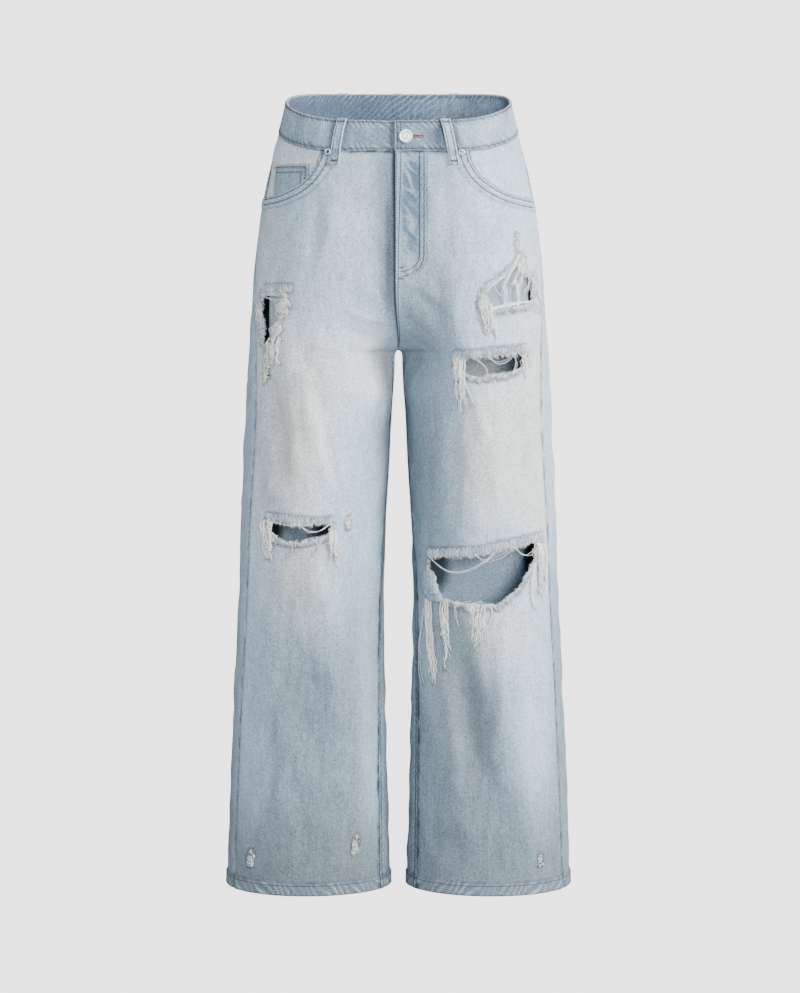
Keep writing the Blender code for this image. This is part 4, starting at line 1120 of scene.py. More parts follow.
# %% Waistband relief and buttonhole
BUTTON_X, BUTTON_Z = 0.0092, -0.0305
BUTTONHOLE_RADIUS, BUTTONHOLE_END_X, BUTTONHOLE_SLIT = 0.0034, 0.0325, 0.0005
BAND_STITCH = 0.0030      # from each edge of the band to its row of stitches
opening_angles = np.radians(np.arange(20, 341, 16))
buttonhole = [(BUTTON_X + BUTTONHOLE_RADIUS * math.cos(a), BUTTON_Z
               + BUTTONHOLE_RADIUS * math.sin(a)) for a in opening_angles]
buttonhole += [(BUTTONHOLE_END_X, BUTTON_Z - BUTTONHOLE_SLIT / 2),
               (BUTTONHOLE_END_X, BUTTON_Z + BUTTONHOLE_SLIT / 2)]
from_top = BAND_HEIGHT * band_share
from_bottom = BAND_HEIGHT - from_top
near_edge = np.minimum(from_top, from_bottom)
top_wave = pucker(from_top - BAND_STITCH, band_along, 0.0070, 0.0078, 0.9)
bottom_wave = pucker(from_bottom - BAND_STITCH, band_along, 0.0070, 0.0083, -0.8)
at_back = most(smooth((-band_turn - 60) / 40), 0.5 * smooth((band_turn - 100) / 30))[None, :]
slanted = np.sin(2 * math.pi * (band_along + 1.1 * from_top) / 0.0092
                 + 2.2 * np.sin(band_along * 47) + 1.1 * np.sin(band_along * 131)) * at_back
slanted = slanted * (0.35 + 0.65 * np.abs(np.sin(band_along * 29 + from_top * 60)))
tab = np.zeros((1, len(band_turn)), bool)
tab[:, -len(left_turns):] = left_turns > 120
to_end = band_along[:, -1:] - band_along
band_keep = np.where(tab, edge_distance(buttonhole, band_x, band_z), 1.0)
band_relief = (0.00025 * (top_wave + bottom_wave)
               - 0.0005 * bump(from_top - BAND_STITCH, 0.0011)
               - 0.0005 * bump(from_bottom - BAND_STITCH, 0.0011)
               + 0.00022 * crumple(band_place * (1, 1, 0.3), 0.020, 41)
               + 0.00028 * slanted * smooth(near_edge / 0.01)
               - 0.0009 * (1 - smooth(from_top / 0.0018))
               - 0.0006 * (1 - smooth(from_bottom / 0.0014))
               + 0.0006 * bump(np.clip(band_keep, 0, 1), 0.0016)
               + 0.0007 * (tab * smooth((0.0085 - to_end) / 0.0015))
               - 0.0004 * (1 - smooth((to_end - 0.0015) / 0.002)))

# %% Waistband wash and shade
on_front = band_y < 0
across_front = band_x * smooth((0.030 - band_y) / 0.060)
# paleness: wear at the front of the band; at the back it is painted shade, darker on the band's
# inside towards the wearer's right.
paleness = (-0.10 + 0.54 * smooth((across_front - 0.050) / 0.05)
        + 0.34 * smooth((-across_front - 0.045) / 0.05)
        + (0.26 + 2.0 * band_x) * smooth(band_y / 0.060))


def beside_loop(centre_x, lean):
    """Distance sideways from the middle of a front belt loop."""
    return band_x - centre_x - lean * (-0.030 - band_z)


# Painted shadows of the front belt loops on the band, darker on the side away from the key light.
# Beside the loops the band also keeps more unfaded blue, and its grime there is painted shade.
beside_loops, loop_lines = 0.0, 0.0
for centre_x, line_x, lean in ((0.0640, 0.0640, 0.24), (-0.0750, -0.0755, -0.20)):
    away = beside_loop(centre_x, lean)
    beside_loops = beside_loops + bump(np.abs(away) - 0.0085, 0.0030) * on_front
    away = beside_loop(line_x, lean)
    sides = bump(np.abs(away) - 0.0072, 0.0013) * on_front
    loop_lines = most(loop_lines, sides * np.where(away < 0, 0.9, 0.5))
# Painted shade: under_tab and tab_shadow darken the band beside the tab's end, in_slit darkens the
# band seen through the buttonhole, and the grime along the band's bottom edge is painted shade at
# its lower edge.
under_tab = ~on_left * bump(band_x + 0.0085, 0.0030) * on_front
tab_shadow = 0.95 * bump(band_x + 0.0050, 0.0022) * ~on_left * on_front
in_slit = bump(band_z - BUTTON_Z, 0.0022) * (band_lift < -0.002) * smooth(
    (band_x - 0.008) / 0.002)
band_layers = {
    "fade": paleness + (0.10 - 0.09 * smooth(band_y / 0.060)) * crumple(
        band_place * (1, 1, 0.4), 0.03, 43),
    "deep": 0.22 * bump(near_edge - 0.0035, 0.003) + 0.75 * beside_loops,
    "grime": 0.10 + 0.30 * beside_loops + 0.9 * under_tab + 0.55 * bump(from_bottom, 0.0016),
    "rope": np.clip(1.05 * (top_wave + bottom_wave) + 0.42 * slanted, -1.4, 1.4),
    "raw": most(0.6 * bump(from_top, 0.0012), tab * bump(to_end, 0.0012)),
    "line": most(loop_lines, tab_shadow, in_slit, 0.45 * bump(from_bottom - 0.0038, 0.0009))}


def strip(place, normal):
    """A grid of its own for a strip of cloth."""
    return SimpleNamespace(side=1, face=1, place=place, normal=normal, turn=place[..., 0])


print("waistband layers", *band_layers)

# %% Make the waistband
band = strip(band_place, band_normal)
band_relief = band_lift[None, :] + BAND_LIFT + band_relief
band_points = moved(band, band_relief)
cloth_piece("waistband", band, band_relief, band_layers, band_keep, BAND_WALL - 0.0002,
            (denim_band, denim_band_inside))

# %% [markdown]
# ## Pockets and the fly's underlap
# A front pocket is three layers: the panel with its curved mouth, a denim facing that fills the
# mouth, and a cotton bag behind both. They are made from the same grid as the panel, each moved
# inwards by the layers above it, and each cut to its own outline. The facing starts flush at the
# side seam and slips under the panel below the mouth, as the sewn one does.

# %% Facings
COIN_OUTLINE = thousandths(((114.5, -65.5), (160, -64), (163, -112), (119, -112)))
FACING_WALL, COIN_WALL, BAG_WALL, SEAM_GAP = 0.0012, 0.0010, 0.0012, 0.0003
FACING_FLUSH, FACING_SLOPE = 0.15, 0.40
facing_lifts, facing_depths = {}, {}
for side, word in SIDES:
    grid, mouth = fronts[side], MOUTHS[side]
    facing_depths[side] = CLOTH + SEAM_GAP + (COIN_WALL + SEAM_GAP if side < 0 else 0)
    reach = np.hypot((mouth.centre_x - grid.x) / mouth.width,
                     (mouth.centre_z - grid.z) / mouth.drop)
    lift = -facing_depths[side] * smooth((reach - FACING_FLUSH) / FACING_SLOPE)
    facing_lifts[side] = lift
    outside = mouth_distance(side, grid.x, grid.z)
    # Painted shade: a dark line under the panel's edge at the pocket mouth, under the waistband
    # and round the coin pocket.
    line = most(0.9 * bump(outside + 0.0004, 0.0013), 0.62 * bump(grid.below_waist, 0.0020))
    if side < 0:
        from_coin = edge_distance(COIN_OUTLINE, grid.x, grid.z)
        line = most(line, 0.6 * bump(from_coin - 0.0006, 0.0011))
    cloth_piece("pocket_facing_" + word, grid,
                grid.soft + (lift - 0.0002) + 0.0003 * crumple(grid.place, 0.016, 51),
                {"fade": grid.fade + (0.33 if side < 0 else 0.10),
                 "deep": 0.6 * bump(outside + 0.0010, 0.0018), "line": line,
                 "rope": pucker(grid.from_out, grid.z, 0.008, 0.010) * 0.8},
                np.minimum(0.020 - outside, grid.z + 0.128), FACING_WALL - 0.0001)

# %% Pocket bags
for side, word in SIDES:
    grid = fronts[side]
    x, z = grid.x, grid.z
    keep = least(x - 0.058 - 0.018 * smooth((-0.24 - z) / 0.06),
                 0.179 - 0.0080 * smooth((-0.195 - z) / 0.020) - x,
                 z + 0.286, grid.from_out - 0.004, grid.below_waist - 0.001)
    relief = grid.soft - (facing_depths[side] + FACING_WALL + SEAM_GAP) + np.minimum(
        0.0011 * crumple(grid.place, 0.034, 53) - 0.0012, 0.0002)
    coarse = {key: getattr(grid, key)[::2, ::2] for key in ("place", "normal", "turn")}
    cloth_piece("pocket_bag_" + word, SimpleNamespace(side=side, face=1, **coarse),
                relief[::2, ::2], {}, keep[::2, ::2], BAG_WALL - 0.0003,
                (pocketing, pocketing))

# %% Coin pocket
grid = fronts[-1]
inside = -edge_distance(COIN_OUTLINE, grid.x, grid.z)
wave = pucker(inside - 0.002, grid.from_out + grid.z, 0.006, 0.0065)
cloth_piece("coin_pocket", grid,
            grid.soft + (facing_lifts[-1] + SEAM_GAP + COIN_WALL)
            + (0.0002 * wave - 0.0004 * (1 - smooth(inside / 0.001))
               - 0.00035 * bump(inside - 0.0025, 0.0009)),
            {"fade": grid.fade * 0.76, "deep": grid.deep * 0.6, "rope": wave * 0.8,
             "raw": bump(inside, 0.0012) * 0.9, "grime": 0.48,
             "line": 0.45 * bump(inside - 0.0030, 0.0008) + 0.40 * bump(inside - 0.0095, 0.0008)},
            inside, COIN_WALL - 0.0001)

# %% Underlap behind the fly
UNDERLAP_OUTLINE = thousandths(((-20, -40), (36, -40), (36, -160), (33, -178), (24, -193),
                                (10, -203), (-20, -203)))
grid = fronts[1]
inside = np.minimum(-edge_distance(UNDERLAP_OUTLINE, grid.x, grid.z),
                    grid.below_waist - 0.0005)
cloth_piece("fly_underlap", grid, grid.soft - (CLOTH + SEAM_GAP + 0.0006),
            {"fade": 0.2, "deep": 0.3}, inside, CLOTH - 0.0002)

# %% Back pockets
BACK_POCKET_OUTLINE = thousandths(((34, -100), (146, -90), (141, -220), (91, -252),
                                   (41, -226)))
for side, word in SIDES:
    grid = backs[side]
    x, z = grid.x, grid.z
    inside = -edge_distance(BACK_POCKET_OUTLINE, x, z)
    below_mouth = -0.100 + (x - 0.034) * (0.010 / 0.112) - z
    wave = pucker(inside - 0.004, grid.from_out + 1.3 * z, 0.009, 0.0085)
    mouth_wave = pucker(below_mouth - 0.012, x, 0.009, 0.009)
    hem = smooth((0.014 - below_mouth) / 0.002)
    shape = (0.0006 * hem - 0.0009 * (1 - smooth(inside / 0.0012))
             + 0.00025 * (wave + mouth_wave) - 0.0004 * bump(inside - 0.0020, 0.0009)
             - 0.0004 * bump(inside - 0.0085, 0.0009) + 0.0004 * crumple(grid.place, 0.030, 57))
    paleness = smooth(1 - np.hypot((x - 0.092) / 0.045, (z + 0.165) / 0.060))
    cloth_piece("back_pocket_" + word, grid, grid.soft + (SEAM_GAP + CLOTH) + shape,
                {"fade": grid.fade * 0.7 + 0.25 * paleness,
                 "deep": 0.18 * bump(inside - 0.005, 0.005), "rope": wave + mouth_wave * hem},
                inside)

# %% [markdown]
# ## Belt loops
# A belt loop is a narrow strip, folded so that its edges are thick, stitched twice along its
# length and tacked down at both ends. It stands off the waistband in the middle to let a belt
# through. Each is a short grid that follows the waist at a changing lift.

# %% Build the loops
LOOP_WIDTH, LOOP_WALL, LOOP_TOP, LOOP_BOTTOM = 0.0125, 0.0018, 0.001, 0.0180
LOOP_LIFT, LOOP_REST, LOOP_BAR = 0.0074, 0.0005, 0.006
LOOP_STATIONS, LOOP_SPREAD = 60, 17
LOOPS = table("name side face top_x bottom_x", (
    ("belt_loop_front_left", 1, 1, 59, 71), ("belt_loop_front_right", -1, 1, 71, 81),
    ("belt_loop_side_left", 1, -1, 74, 79), ("belt_loop_side_right", -1, -1, 74, 79),
    ("belt_loop_back", 1, -1, 0, 0)))
loop_frames = {}
for loop in LOOPS:
    side, face = loop.side, loop.face
    top_turn = turn_at(side, face, loop.top_x, 0.0)
    start = float(rim_height(top_turn)) + LOOP_TOP
    seam = float(waist_seam(top_turn))
    end = seam - LOOP_BOTTOM
    rest = BAND_LIFT + LOOP_REST
    heights = np.linspace(start, end, LOOP_STATIONS)
    lifts = np.interp(-heights, (-start, -start + LOOP_BAR, -start + 2 * LOOP_BAR, -seam,
                                 -seam + LOOP_BAR, -end),
                      (rest, rest, LOOP_LIFT, LOOP_LIFT, LOOP_REST, LOOP_REST))
    lifts = np.convolve(np.pad(lifts, 3, mode="edge"), np.ones(7) / 7, mode="valid")
    stations = []
    for height, lift in zip(heights, lifts):
        x = between(loop.top_x, loop.bottom_x, (start - height) / (start - end))
        turn = turn_at(side, face, x, height)
        normal = outward(side, height, turn)
        sideways = np.cross(normal, (0, 0, 1))
        stations.append((body(side, height, turn) + normal * (lift + LOOP_WALL), normal,
                         sideways / np.linalg.norm(sideways)))
    centre, normal, across = (np.array(column) for column in zip(*stations))
    loop_frames[loop.name] = (centre, normal, across)
    spread = np.linspace(-1, 1, LOOP_SPREAD)
    off = np.abs(spread)[None, :]
    wave = pucker((off - 0.62) * LOOP_WIDTH / 2, (start - heights)[:, None], 0.003,
                  0.0052) * (off > 0.2)
    bulge = (0.00055 * smooth((off - 0.35) / 0.3) - 0.0012 * smooth((off - 0.88) / 0.12)
             - 0.0004 * bump(off - 0.64, 0.12) + 0.00018 * wave)
    bare = 0.24 if loop.name == "belt_loop_front_left" else 0.0
    cloth_piece(loop.name,
                strip(centre[:, None] + across[:, None] * (spread * LOOP_WIDTH / 2)[:, None],
                      normal[:, None]), bulge,
                {"fade": 0.42 + bare + 0.40 * smooth((off - 0.6) / 0.3),
                 "deep": (0.30 - bare) * smooth(1 - off / 0.6), "rope": wave * 0.8,
                 "line": 0.60 * bump(off - 0.62, 0.11),
                 "raw": 0.9 * smooth((off - 0.80) / 0.15)}, None, LOOP_WALL - 0.0002)
print(len(LOOPS), "belt loops")

# %% [markdown]
# ## Button and rivets
# Both are turned parts: a profile of radius and height spun round its axis. The button has a
# rolled rim, a sunk ring and a raised disc in the middle, and stands on a shank. The rivets are
# low domes with a dark burr in the middle. They are bare, with no mark.

# %% A turned piece
def turned(name, node, profile, place, normal, segments, materials, inner_radius=0.0):
    """Spin a (radius, distance) profile; faces inside inner_radius take the second material."""
    angles = 2 * math.pi * np.arange(segments) / segments
    radius, distance = np.array(profile).T
    points = np.stack((radius[:, None] * np.cos(angles), radius[:, None] * np.sin(angles),
                       distance[:, None] + 0 * angles), axis=-1).reshape(-1, 3)
    turn = Vector((0, 0, 1)).rotation_difference(Vector(normal)).to_matrix()
    points = points @ np.array(turn).T + np.array(place)
    faces, kinds = [], []
    for ring in range(len(profile) - 1):
        low, high = ring * segments, (ring + 1) * segments
        faces += [(low + i, low + (i + 1) % segments, high + (i + 1) % segments, high + i)
                  for i in range(segments)]
        kinds += [int(profile[ring + 1][0] < inner_radius)] * segments
    faces += [tuple(range(segments))[::-1], tuple(range(high, high + segments))]
    kinds += [0, int(inner_radius > 0)]
    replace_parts(make_piece(name, points, faces, materials, None, kinds), node)


# %% Shank button and rivets
button_turn = turn_at(1, 1, BUTTON_X, BUTTON_Z)
FOOT = BAND_LIFT - BAND_WALL - BAND_OVERLAP_GAP + SEAM_GAP
BACK = BAND_LIFT + 0.0006
TOP = BACK + 0.0026
BUTTON_PROFILE = (
    (0.0024, FOOT), (0.0024, BACK), (0.0072, BACK), (0.0082, BACK + 0.0003),
    (0.0086, BACK + 0.0009), (0.0086, TOP - 0.0009), (0.0083, TOP - 0.0003), (0.0077, TOP),
    (0.0070, TOP), (0.0064, TOP - 0.0003), (0.0060, TOP - 0.0008), (0.0050, TOP - 0.0009),
    (0.0045, TOP - 0.0005), (0.0041, TOP - 0.0001), (0.0034, TOP), (0.0028, TOP - 0.0002),
    (0.0024, TOP - 0.0005), (0.0012, TOP - 0.0005), (0.0004, TOP - 0.0005))
turned("dressed_button", "waist_button", BUTTON_PROFILE, body(1, BUTTON_Z, button_turn),
       outward(1, BUTTON_Z, button_turn), 56, (button_metal,))
RIVET_PROFILE = thousandths(((4, .2), (4.1, .6), (3.9, 1.1), (3.4, 1.4), (2.7, 1.3),
                             (2.3, .8), (1.7, .6), (1.4, .9), (.9, 1.1), (.3, 1.1)))
for node, side, x in (("rivet_left", 1, 0.0800), ("rivet_right", -1, 0.0890)):
    low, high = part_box(node)
    middle = (np.array(low) + np.array(high)) / 2
    height = middle[2] + RIVET_RISE
    rivet_turn = turn_at(side, 1, x, height)
    middle = (middle + body(side, height, rivet_turn)
              - body(side, middle[2], turn_at(side, 1, x, middle[2])))
    normal = outward(side, height, rivet_turn)
    turned("dressed_" + node, node, RIVET_PROFILE, middle - normal * 0.0002, normal, 32,
           (rivet_metal, burr_metal), 0.0020)

# %% [markdown]
# ## Where threads and stitches lie
# Stitches and loose threads lie on the finished cloth, creases included. Two ways give their
# places: a line dropped onto the front or back of a panel at a distance from the middle and a
# height, and a line traced at a set distance from a seam along the panel's own grid.

# %% Drop a line onto a face
surfaces = {}
for side, _ in SIDES:
    for face, cloths in ((1, (fronts[side],)), (-1, (backs[side], yokes[side]))):
        points, triangles, count = [], [], 0
        for grid in cloths:
            points.append(moved(grid, grid.relief).reshape(-1, 3))
            triangles.append(grid_triangles(*grid.turn.shape) + count)
            count += len(points[-1])
        surfaces[side, face] = BVHTree.FromPolygons(np.concatenate(points).tolist(),
                                                    np.concatenate(triangles).tolist())
print(len(surfaces), "faces to lay threads on")
FAR = 0.4                 # a line that is dropped onto the cloth starts this far away
NEAR = 0.1                # where it starts looking for the nearest cloth if it misses


def on_face(side, face, x, z, lift=0.0, surface=None):
    """Points and normals of the cloth at places (distance from the middle, height)."""
    surface = surface or surfaces[side, face]
    points, normals = [], []
    x, z, lift = np.broadcast_arrays(x, z, lift)
    for across, height, off in zip(x.ravel(), z.ravel(), lift.ravel()):
        place, normal, _, _ = surface.ray_cast((side * across, -face * FAR, height),
                                               (0, face, 0))
        if place is None:
            place, normal, _, _ = surface.find_nearest((side * across, -face * NEAR, height))
        if normal.y * face > 0:
            normal = -normal
        points.append(place + normal * float(off))
        normals.append(normal)
    return (np.array(points).reshape(*x.shape, 3), np.array(normals).reshape(*x.shape, 3))


def straight(start, end, count):
    """Distances from the middle and heights along a straight line between two places."""
    return tuple(between(a, b, np.linspace(0, 1, count)) for a, b in zip(start, end))


# %% Trace a line along a seam
def traced(grid, distance, value, rows=ALL, down=False):
    """Points and normals where a distance has one value in each row, or in each column."""
    values = distance[rows], moved(grid, grid.relief)[rows], grid.normal[rows]
    if down:
        values = [np.swapaxes(value, 0, 1) for value in values]
    found = []
    for away, *lines_across in zip(*values):
        order = slice(None, None, -1) if away[0] > away[-1] else ALL
        found.append([[np.interp(value, away[order], line[order, k]) for k in range(3)]
                      for line in lines_across])
    return np.array(found).swapaxes(0, 1)


# %% [markdown]
# ## Stitches
# One stitch is a short thread that dives into the cloth at both ends. A row of stitches is one
# small mesh repeated along a line with numpy, all joined, because thousands of separate objects
# would be slow and hard to handle.

# %% Rows of stitches
STITCH, STITCH_GAP, STITCH_RADIUS = 0.0032, 0.0003, 0.00058
# Each ring of a stitch: its share of the length, its lift and its size.
STITCH_RINGS = ((0.0, -0.00035, 0.6), (0.22, 0.00030, 1.0), (0.78, 0.00030, 1.0),
                (1.0, -0.00035, 0.6))


def along_line(values, where, travelled):
    """Read points or normals at distances along a line."""
    return np.stack([np.interp(where, travelled, values[:, k])
                     for k in range(values.shape[1])], axis=-1)


def unit(vectors):
    """The same directions with length 1."""
    return vectors / (np.linalg.norm(vectors, axis=-1)[..., None] + 1e-9)


def stitches(points, normals, radius=STITCH_RADIUS):
    """Vertices and faces of a row of stitches along a line on the cloth."""
    travelled = walked(points)
    count = int(travelled[-1] / (STITCH + STITCH_GAP))
    starts = (np.arange(count) + 0.3) * (STITCH + STITCH_GAP)
    direction = unit(along_line(points, starts + STITCH, travelled)
                     - along_line(points, starts, travelled))
    normal = unit(along_line(normals, starts + STITCH / 2, travelled))
    beside = np.cross(direction, normal)
    rings = []
    for share, lift, size in STITCH_RINGS:
        middle = along_line(points, starts + share * STITCH, travelled) + normal * lift
        for sideways, up in ((1, 0), (0, 1), (-1, 0), (0, -1)):
            rings.append(middle + (beside * sideways + normal * up) * radius * size)
    one = [(ring + k, ring + (k + 1) % 4, ring + (k + 1) % 4 + 4, ring + k + 4)
           for ring in (0, 4, 8) for k in range(4)]
    one += [(3, 2, 1, 0), (12, 13, 14, 15)]
    faces = np.array(one)[None] + (np.arange(count) * 16)[:, None, None]
    return np.stack(rings, axis=1).reshape(-1, 3), faces.reshape(-1, 4)


def joined(name, parts, material):
    """One piece made of many small vertex and face lists."""
    parts = [part for part in parts if len(part[0])]
    offsets = np.cumsum([0] + [len(part[0]) for part in parts[:-1]])
    vertices = np.concatenate([part[0] for part in parts])
    faces = np.concatenate([part[1] + offset for part, offset in zip(parts, offsets)])
    print(name, len(faces), "faces")
    return make_piece(name, vertices, faces, (material,), None)


# %% Seam lines on the panels
front_lines, back_lines = [], []
on_pocket = SEAM_GAP + CLOTH
for side, word in SIDES:
    front, back, yoke, mouth = fronts[side], backs[side], yokes[side], MOUTHS[side]
    below = front.z[:, -1] < CROTCH - 0.012
    above = (front.z[:, -1] > CROTCH + 0.008) & (front.below_waist[:, -1] > 0.002)
    front_lines += [traced(front, front.from_in, distance, below)
                    for distance in (0.0022, 0.0078)]
    front_lines.append(traced(front, front.z, HEM_ROW, down=True))
    back_lines.append(traced(back, back.z, HEM_ROW, down=True))
    back_lines += [traced(back, back.along, distance, down=True)
                   for distance in (0.0025, 0.0080)]
    if side > 0:
        for distance in (0.0020, 0.0078):
            front_lines.append(traced(front, front.from_in, distance, above))
            back_lines += [traced(back, back.from_in, distance,
                                  back.z[:, -1] > CROTCH + 0.004),
                           traced(yoke, yoke.from_in, distance)]
    turn = np.radians(np.linspace(182, 268, 60))
    for distance in (0.0022, 0.0095):
        x = mouth.centre_x + (mouth.width + distance) * np.cos(turn)
        z = mouth.centre_z + (mouth.drop + distance) * np.sin(turn)
        front_lines.append(on_face(side, 1, x, z))
    corners = np.array(BACK_POCKET_OUTLINE)
    middle = corners.mean(axis=0)
    for inset in (0.0022, 0.0088):
        inner = middle + (corners - middle) * (1 - inset / np.array((0.053, 0.075)))
        back_lines += [on_face(side, -1, *straight(inner[first], inner[second], 40),
                               on_pocket + 0.0002)
                       for first, second in ((1, 2), (2, 3), (3, 4), (4, 0))]
    back_lines.append(on_face(side, -1, *straight((0.036, -0.1115), (0.1445, -0.1020), 60),
                              on_pocket + 0.0009))
print(len(front_lines), "stitch lines on the front and", len(back_lines), "on the back")

# %% The fly's curved rows and the coin pocket
curve = np.radians(np.linspace(0, 84, 24))
for inset in (0.0025, 0.0082):
    width = FLY_WIDTH - inset
    x = np.concatenate((np.full(60, width), width * np.cos(curve)))
    z = np.concatenate((np.linspace(-0.050, FLY_BOTTOM, 60),
                        FLY_BOTTOM - (FLY_CURVE - inset) * np.sin(curve)))
    front_lines.append(on_face(1, 1, x, z))
COIN_MISS = 1e-6          # a line that misses the coin pocket lands further away than this
coin_mesh = made_pieces["cloth_coin_pocket"].data
coin_surface = BVHTree.FromPolygons([tuple(v.co) for v in coin_mesh.vertices],
                                    [tuple(f.vertices) for f in coin_mesh.polygons])
for start, end in thousandths((
        ((116.5, -67.8), (158.5, -66.3)), ((116.8, -74.5), (159, -73)),
        ((116.8, -69), (121.2, -100)), ((123, -75), (126.2, -100)))):
    x, z = straight(start, end, 40)
    points, normals = on_face(-1, 1, x, z, 0.0, coin_surface)
    on_coin = np.hypot(points[:, 0] + x, points[:, 2] - z) < COIN_MISS
    front_lines.append((points[on_coin], normals[on_coin]))
print("now", len(front_lines), "on the front")

# %% The waistband and the loops
band_lines, loop_lines = [], []
for share in (0.075, 0.925):
    row = round(share * (BAND_ROWS - 1))
    band_lines.append((band_points[row], band_normal[row]))
for inset in (BAND_STITCH, 0.0075):
    column = int(np.argmin(np.abs(band_along[0, -1] - inset - band_along[0])))
    band_lines.append((band_points[:, column], band_normal[:, column]))
for centre, normal, across in loop_frames.values():
    for sideways in (-0.62, 0.62):
        loop_lines.append((centre + across * (sideways * LOOP_WIDTH / 2) + normal * 0.0001,
                           normal))
joined("stitches_rim", [stitches(band_points[1], band_normal[1], 0.00045)], rim_thread)
for group, rows in (("front", front_lines), ("back", back_lines), ("waistband", band_lines),
                    ("loops", loop_lines)):
    joined("stitches_" + group, [stitches(*row) for row in rows], seam_thread)

# %% [markdown]
# ## Bartacks and the buttonhole
# A bartack is a tight zigzag where a seam has to hold: at both ends of every belt loop, on the
# coin pocket's corners and at the foot of the fly. The buttonhole is oversewn the same way, with
# a short thread laid across its edge every half millimetre.

# %% Thread tubes
TUBE_END = 0.55           # how thick a thread's last point is


def tubes(paths, radius, sides=3):
    """Vertices and faces of thin tubes; paths is an array of (path, point, xyz)."""
    count, length, _ = paths.shape
    along = np.gradient(paths, axis=1)
    along /= np.linalg.norm(along, axis=-1)[..., None] + 1e-12
    helper = np.where(np.abs(along[..., 1:2]) > 0.8, (1.0, 0.0, 0.0), (0.0, 1.0, 0.0))
    first = np.cross(along, helper)
    first /= np.linalg.norm(first, axis=-1)[..., None] + 1e-12
    second = np.cross(along, first)
    radius = np.broadcast_to(radius, (count,))[:, None, None, None]
    taper = np.append(np.ones(length - 1), TUBE_END)
    angles = (2 * math.pi * np.arange(sides) / sides)[:, None]
    around = first[:, :, None] * np.cos(angles) + second[:, :, None] * np.sin(angles)
    vertices = paths[:, :, None] + around * radius * taper[:, None, None]
    base = (np.arange(count)[:, None, None] * length + np.arange(length - 1)[:, None]) * sides
    k = np.arange(sides)
    j = (k + 1) % sides
    faces = np.stack((base + k, base + j, base + sides + j, base + sides + k), axis=-1)
    return vertices.reshape(-1, 3), faces.reshape(-1, 4)


def bartack(centre, normal, along, length=0.0100, height=0.0024, turns=17, radius=0.00046):
    """A zigzag thread across a small bar."""
    along = np.array(along) / np.linalg.norm(along)
    up = np.cross(normal, along)
    shares = np.linspace(-0.5, 0.5, 2 * turns)
    flip = np.where(np.arange(2 * turns) % 2, 0.5, -0.5)
    path = (centre + normal * 0.00045 + along * (shares * length)[:, None]
            + up * (flip * height)[:, None])
    return tubes(path[None], radius, 4)


# %% Sew the bartacks
tacks = [bartack(centre[station], normal[station], across[station])
         for centre, normal, across in loop_frames.values()
         for station in (4, LOOP_STATIONS - 6)]
for x, z, run in ((0.1180, -0.0690, (1, 0, 0.3)), (0.1575, -0.0672, (1, 0, -0.3))):
    place, _ = on_face(-1, 1, x, z, 0.0, coin_surface)
    tacks.append(bartack(place, np.array((0, -1.0, 0)), run, 0.0060, 0.0020, 10))
for z in (-0.1950, -0.2090):
    tacks.append(bartack(*on_face(1, 1, 0.0025, z), (1.0, 0, -0.15), 0.0080, 0.0020, 12))
for side, word in SIDES:
    for x, z in ((0.038, -0.1015), (0.142, -0.0925)):
        tacks.append(bartack(*on_face(side, -1, x, z, on_pocket), (1.0, 0, 0.0), 0.0080,
                             0.0020, 12))
joined("bartacks", tacks, bartack_thread)

# %% Sew the buttonhole
def round_outline(outline):
    """The corners of a closed outline with the first one again, and the distance to each."""
    closed = np.array((*outline, outline[0]))
    return closed, walked(closed)


SATIN_PITCH, SATIN_RADIUS = 0.00042, 0.00027
closed, travelled = round_outline(buttonhole)
edge = along_line(closed, np.arange(0, travelled[-1], SATIN_PITCH), travelled)
middle_x = np.clip(edge[:, 0], BUTTON_X, BUTTONHOLE_END_X - 0.0004)
out = unit(edge - np.stack((middle_x, np.full(len(edge), BUTTON_Z)), axis=-1))
reach, lift = np.array(((0.0001, -0.0006), (0.0003, 0.0002), (0.0008, 0.0003),
                        (0.0013, 0.0000))).T
band_surface = BVHTree.FromPolygons(
    band_points.reshape(-1, 3).tolist(),
    grid_triangles(*band_height.shape)[:, ::-1].tolist())
satin, _ = on_face(1, 1, edge[:, :1] + out[:, :1] * reach, edge[:, 1:] + out[:, 1:] * reach,
                   0.0, band_surface)
satin[..., 1] -= lift
joined("buttonhole_stitches", [tubes(satin, SATIN_RADIUS)], bartack_thread)

# %% [markdown]
# ## Frayed edges
# At a rip the blue warp threads are cut and the white weft threads are left, bent and loose. An
# edge is frayed in three layers: a fuzz of short threads all round, bands of straight threads on
# the worn edge above a hole, and single long threads. Every thread is a thin tube along a few
# points, laid on the cloth a little above it, and each rip's threads are one joined mesh.

# %% Threads laid on the front
draw = np.random.default_rng(5)


def chance(low, high, count):
    """One random number for each thread, as a column."""
    return draw.uniform(low, high, count)[:, None]


def spread_out(spread, count):
    """One random number around 0 for each thread, as a column."""
    return draw.normal(0, spread, count)[:, None]


def threads(side, x, z, lift, thin, thick, sides=3):
    """Tubes on the front of one side; x, z and lift are arrays of (path, point)."""
    paths, _ = on_face(side, 1, x, z, lift)
    return tubes(paths, draw.uniform(thin, thick, len(paths)), sides)


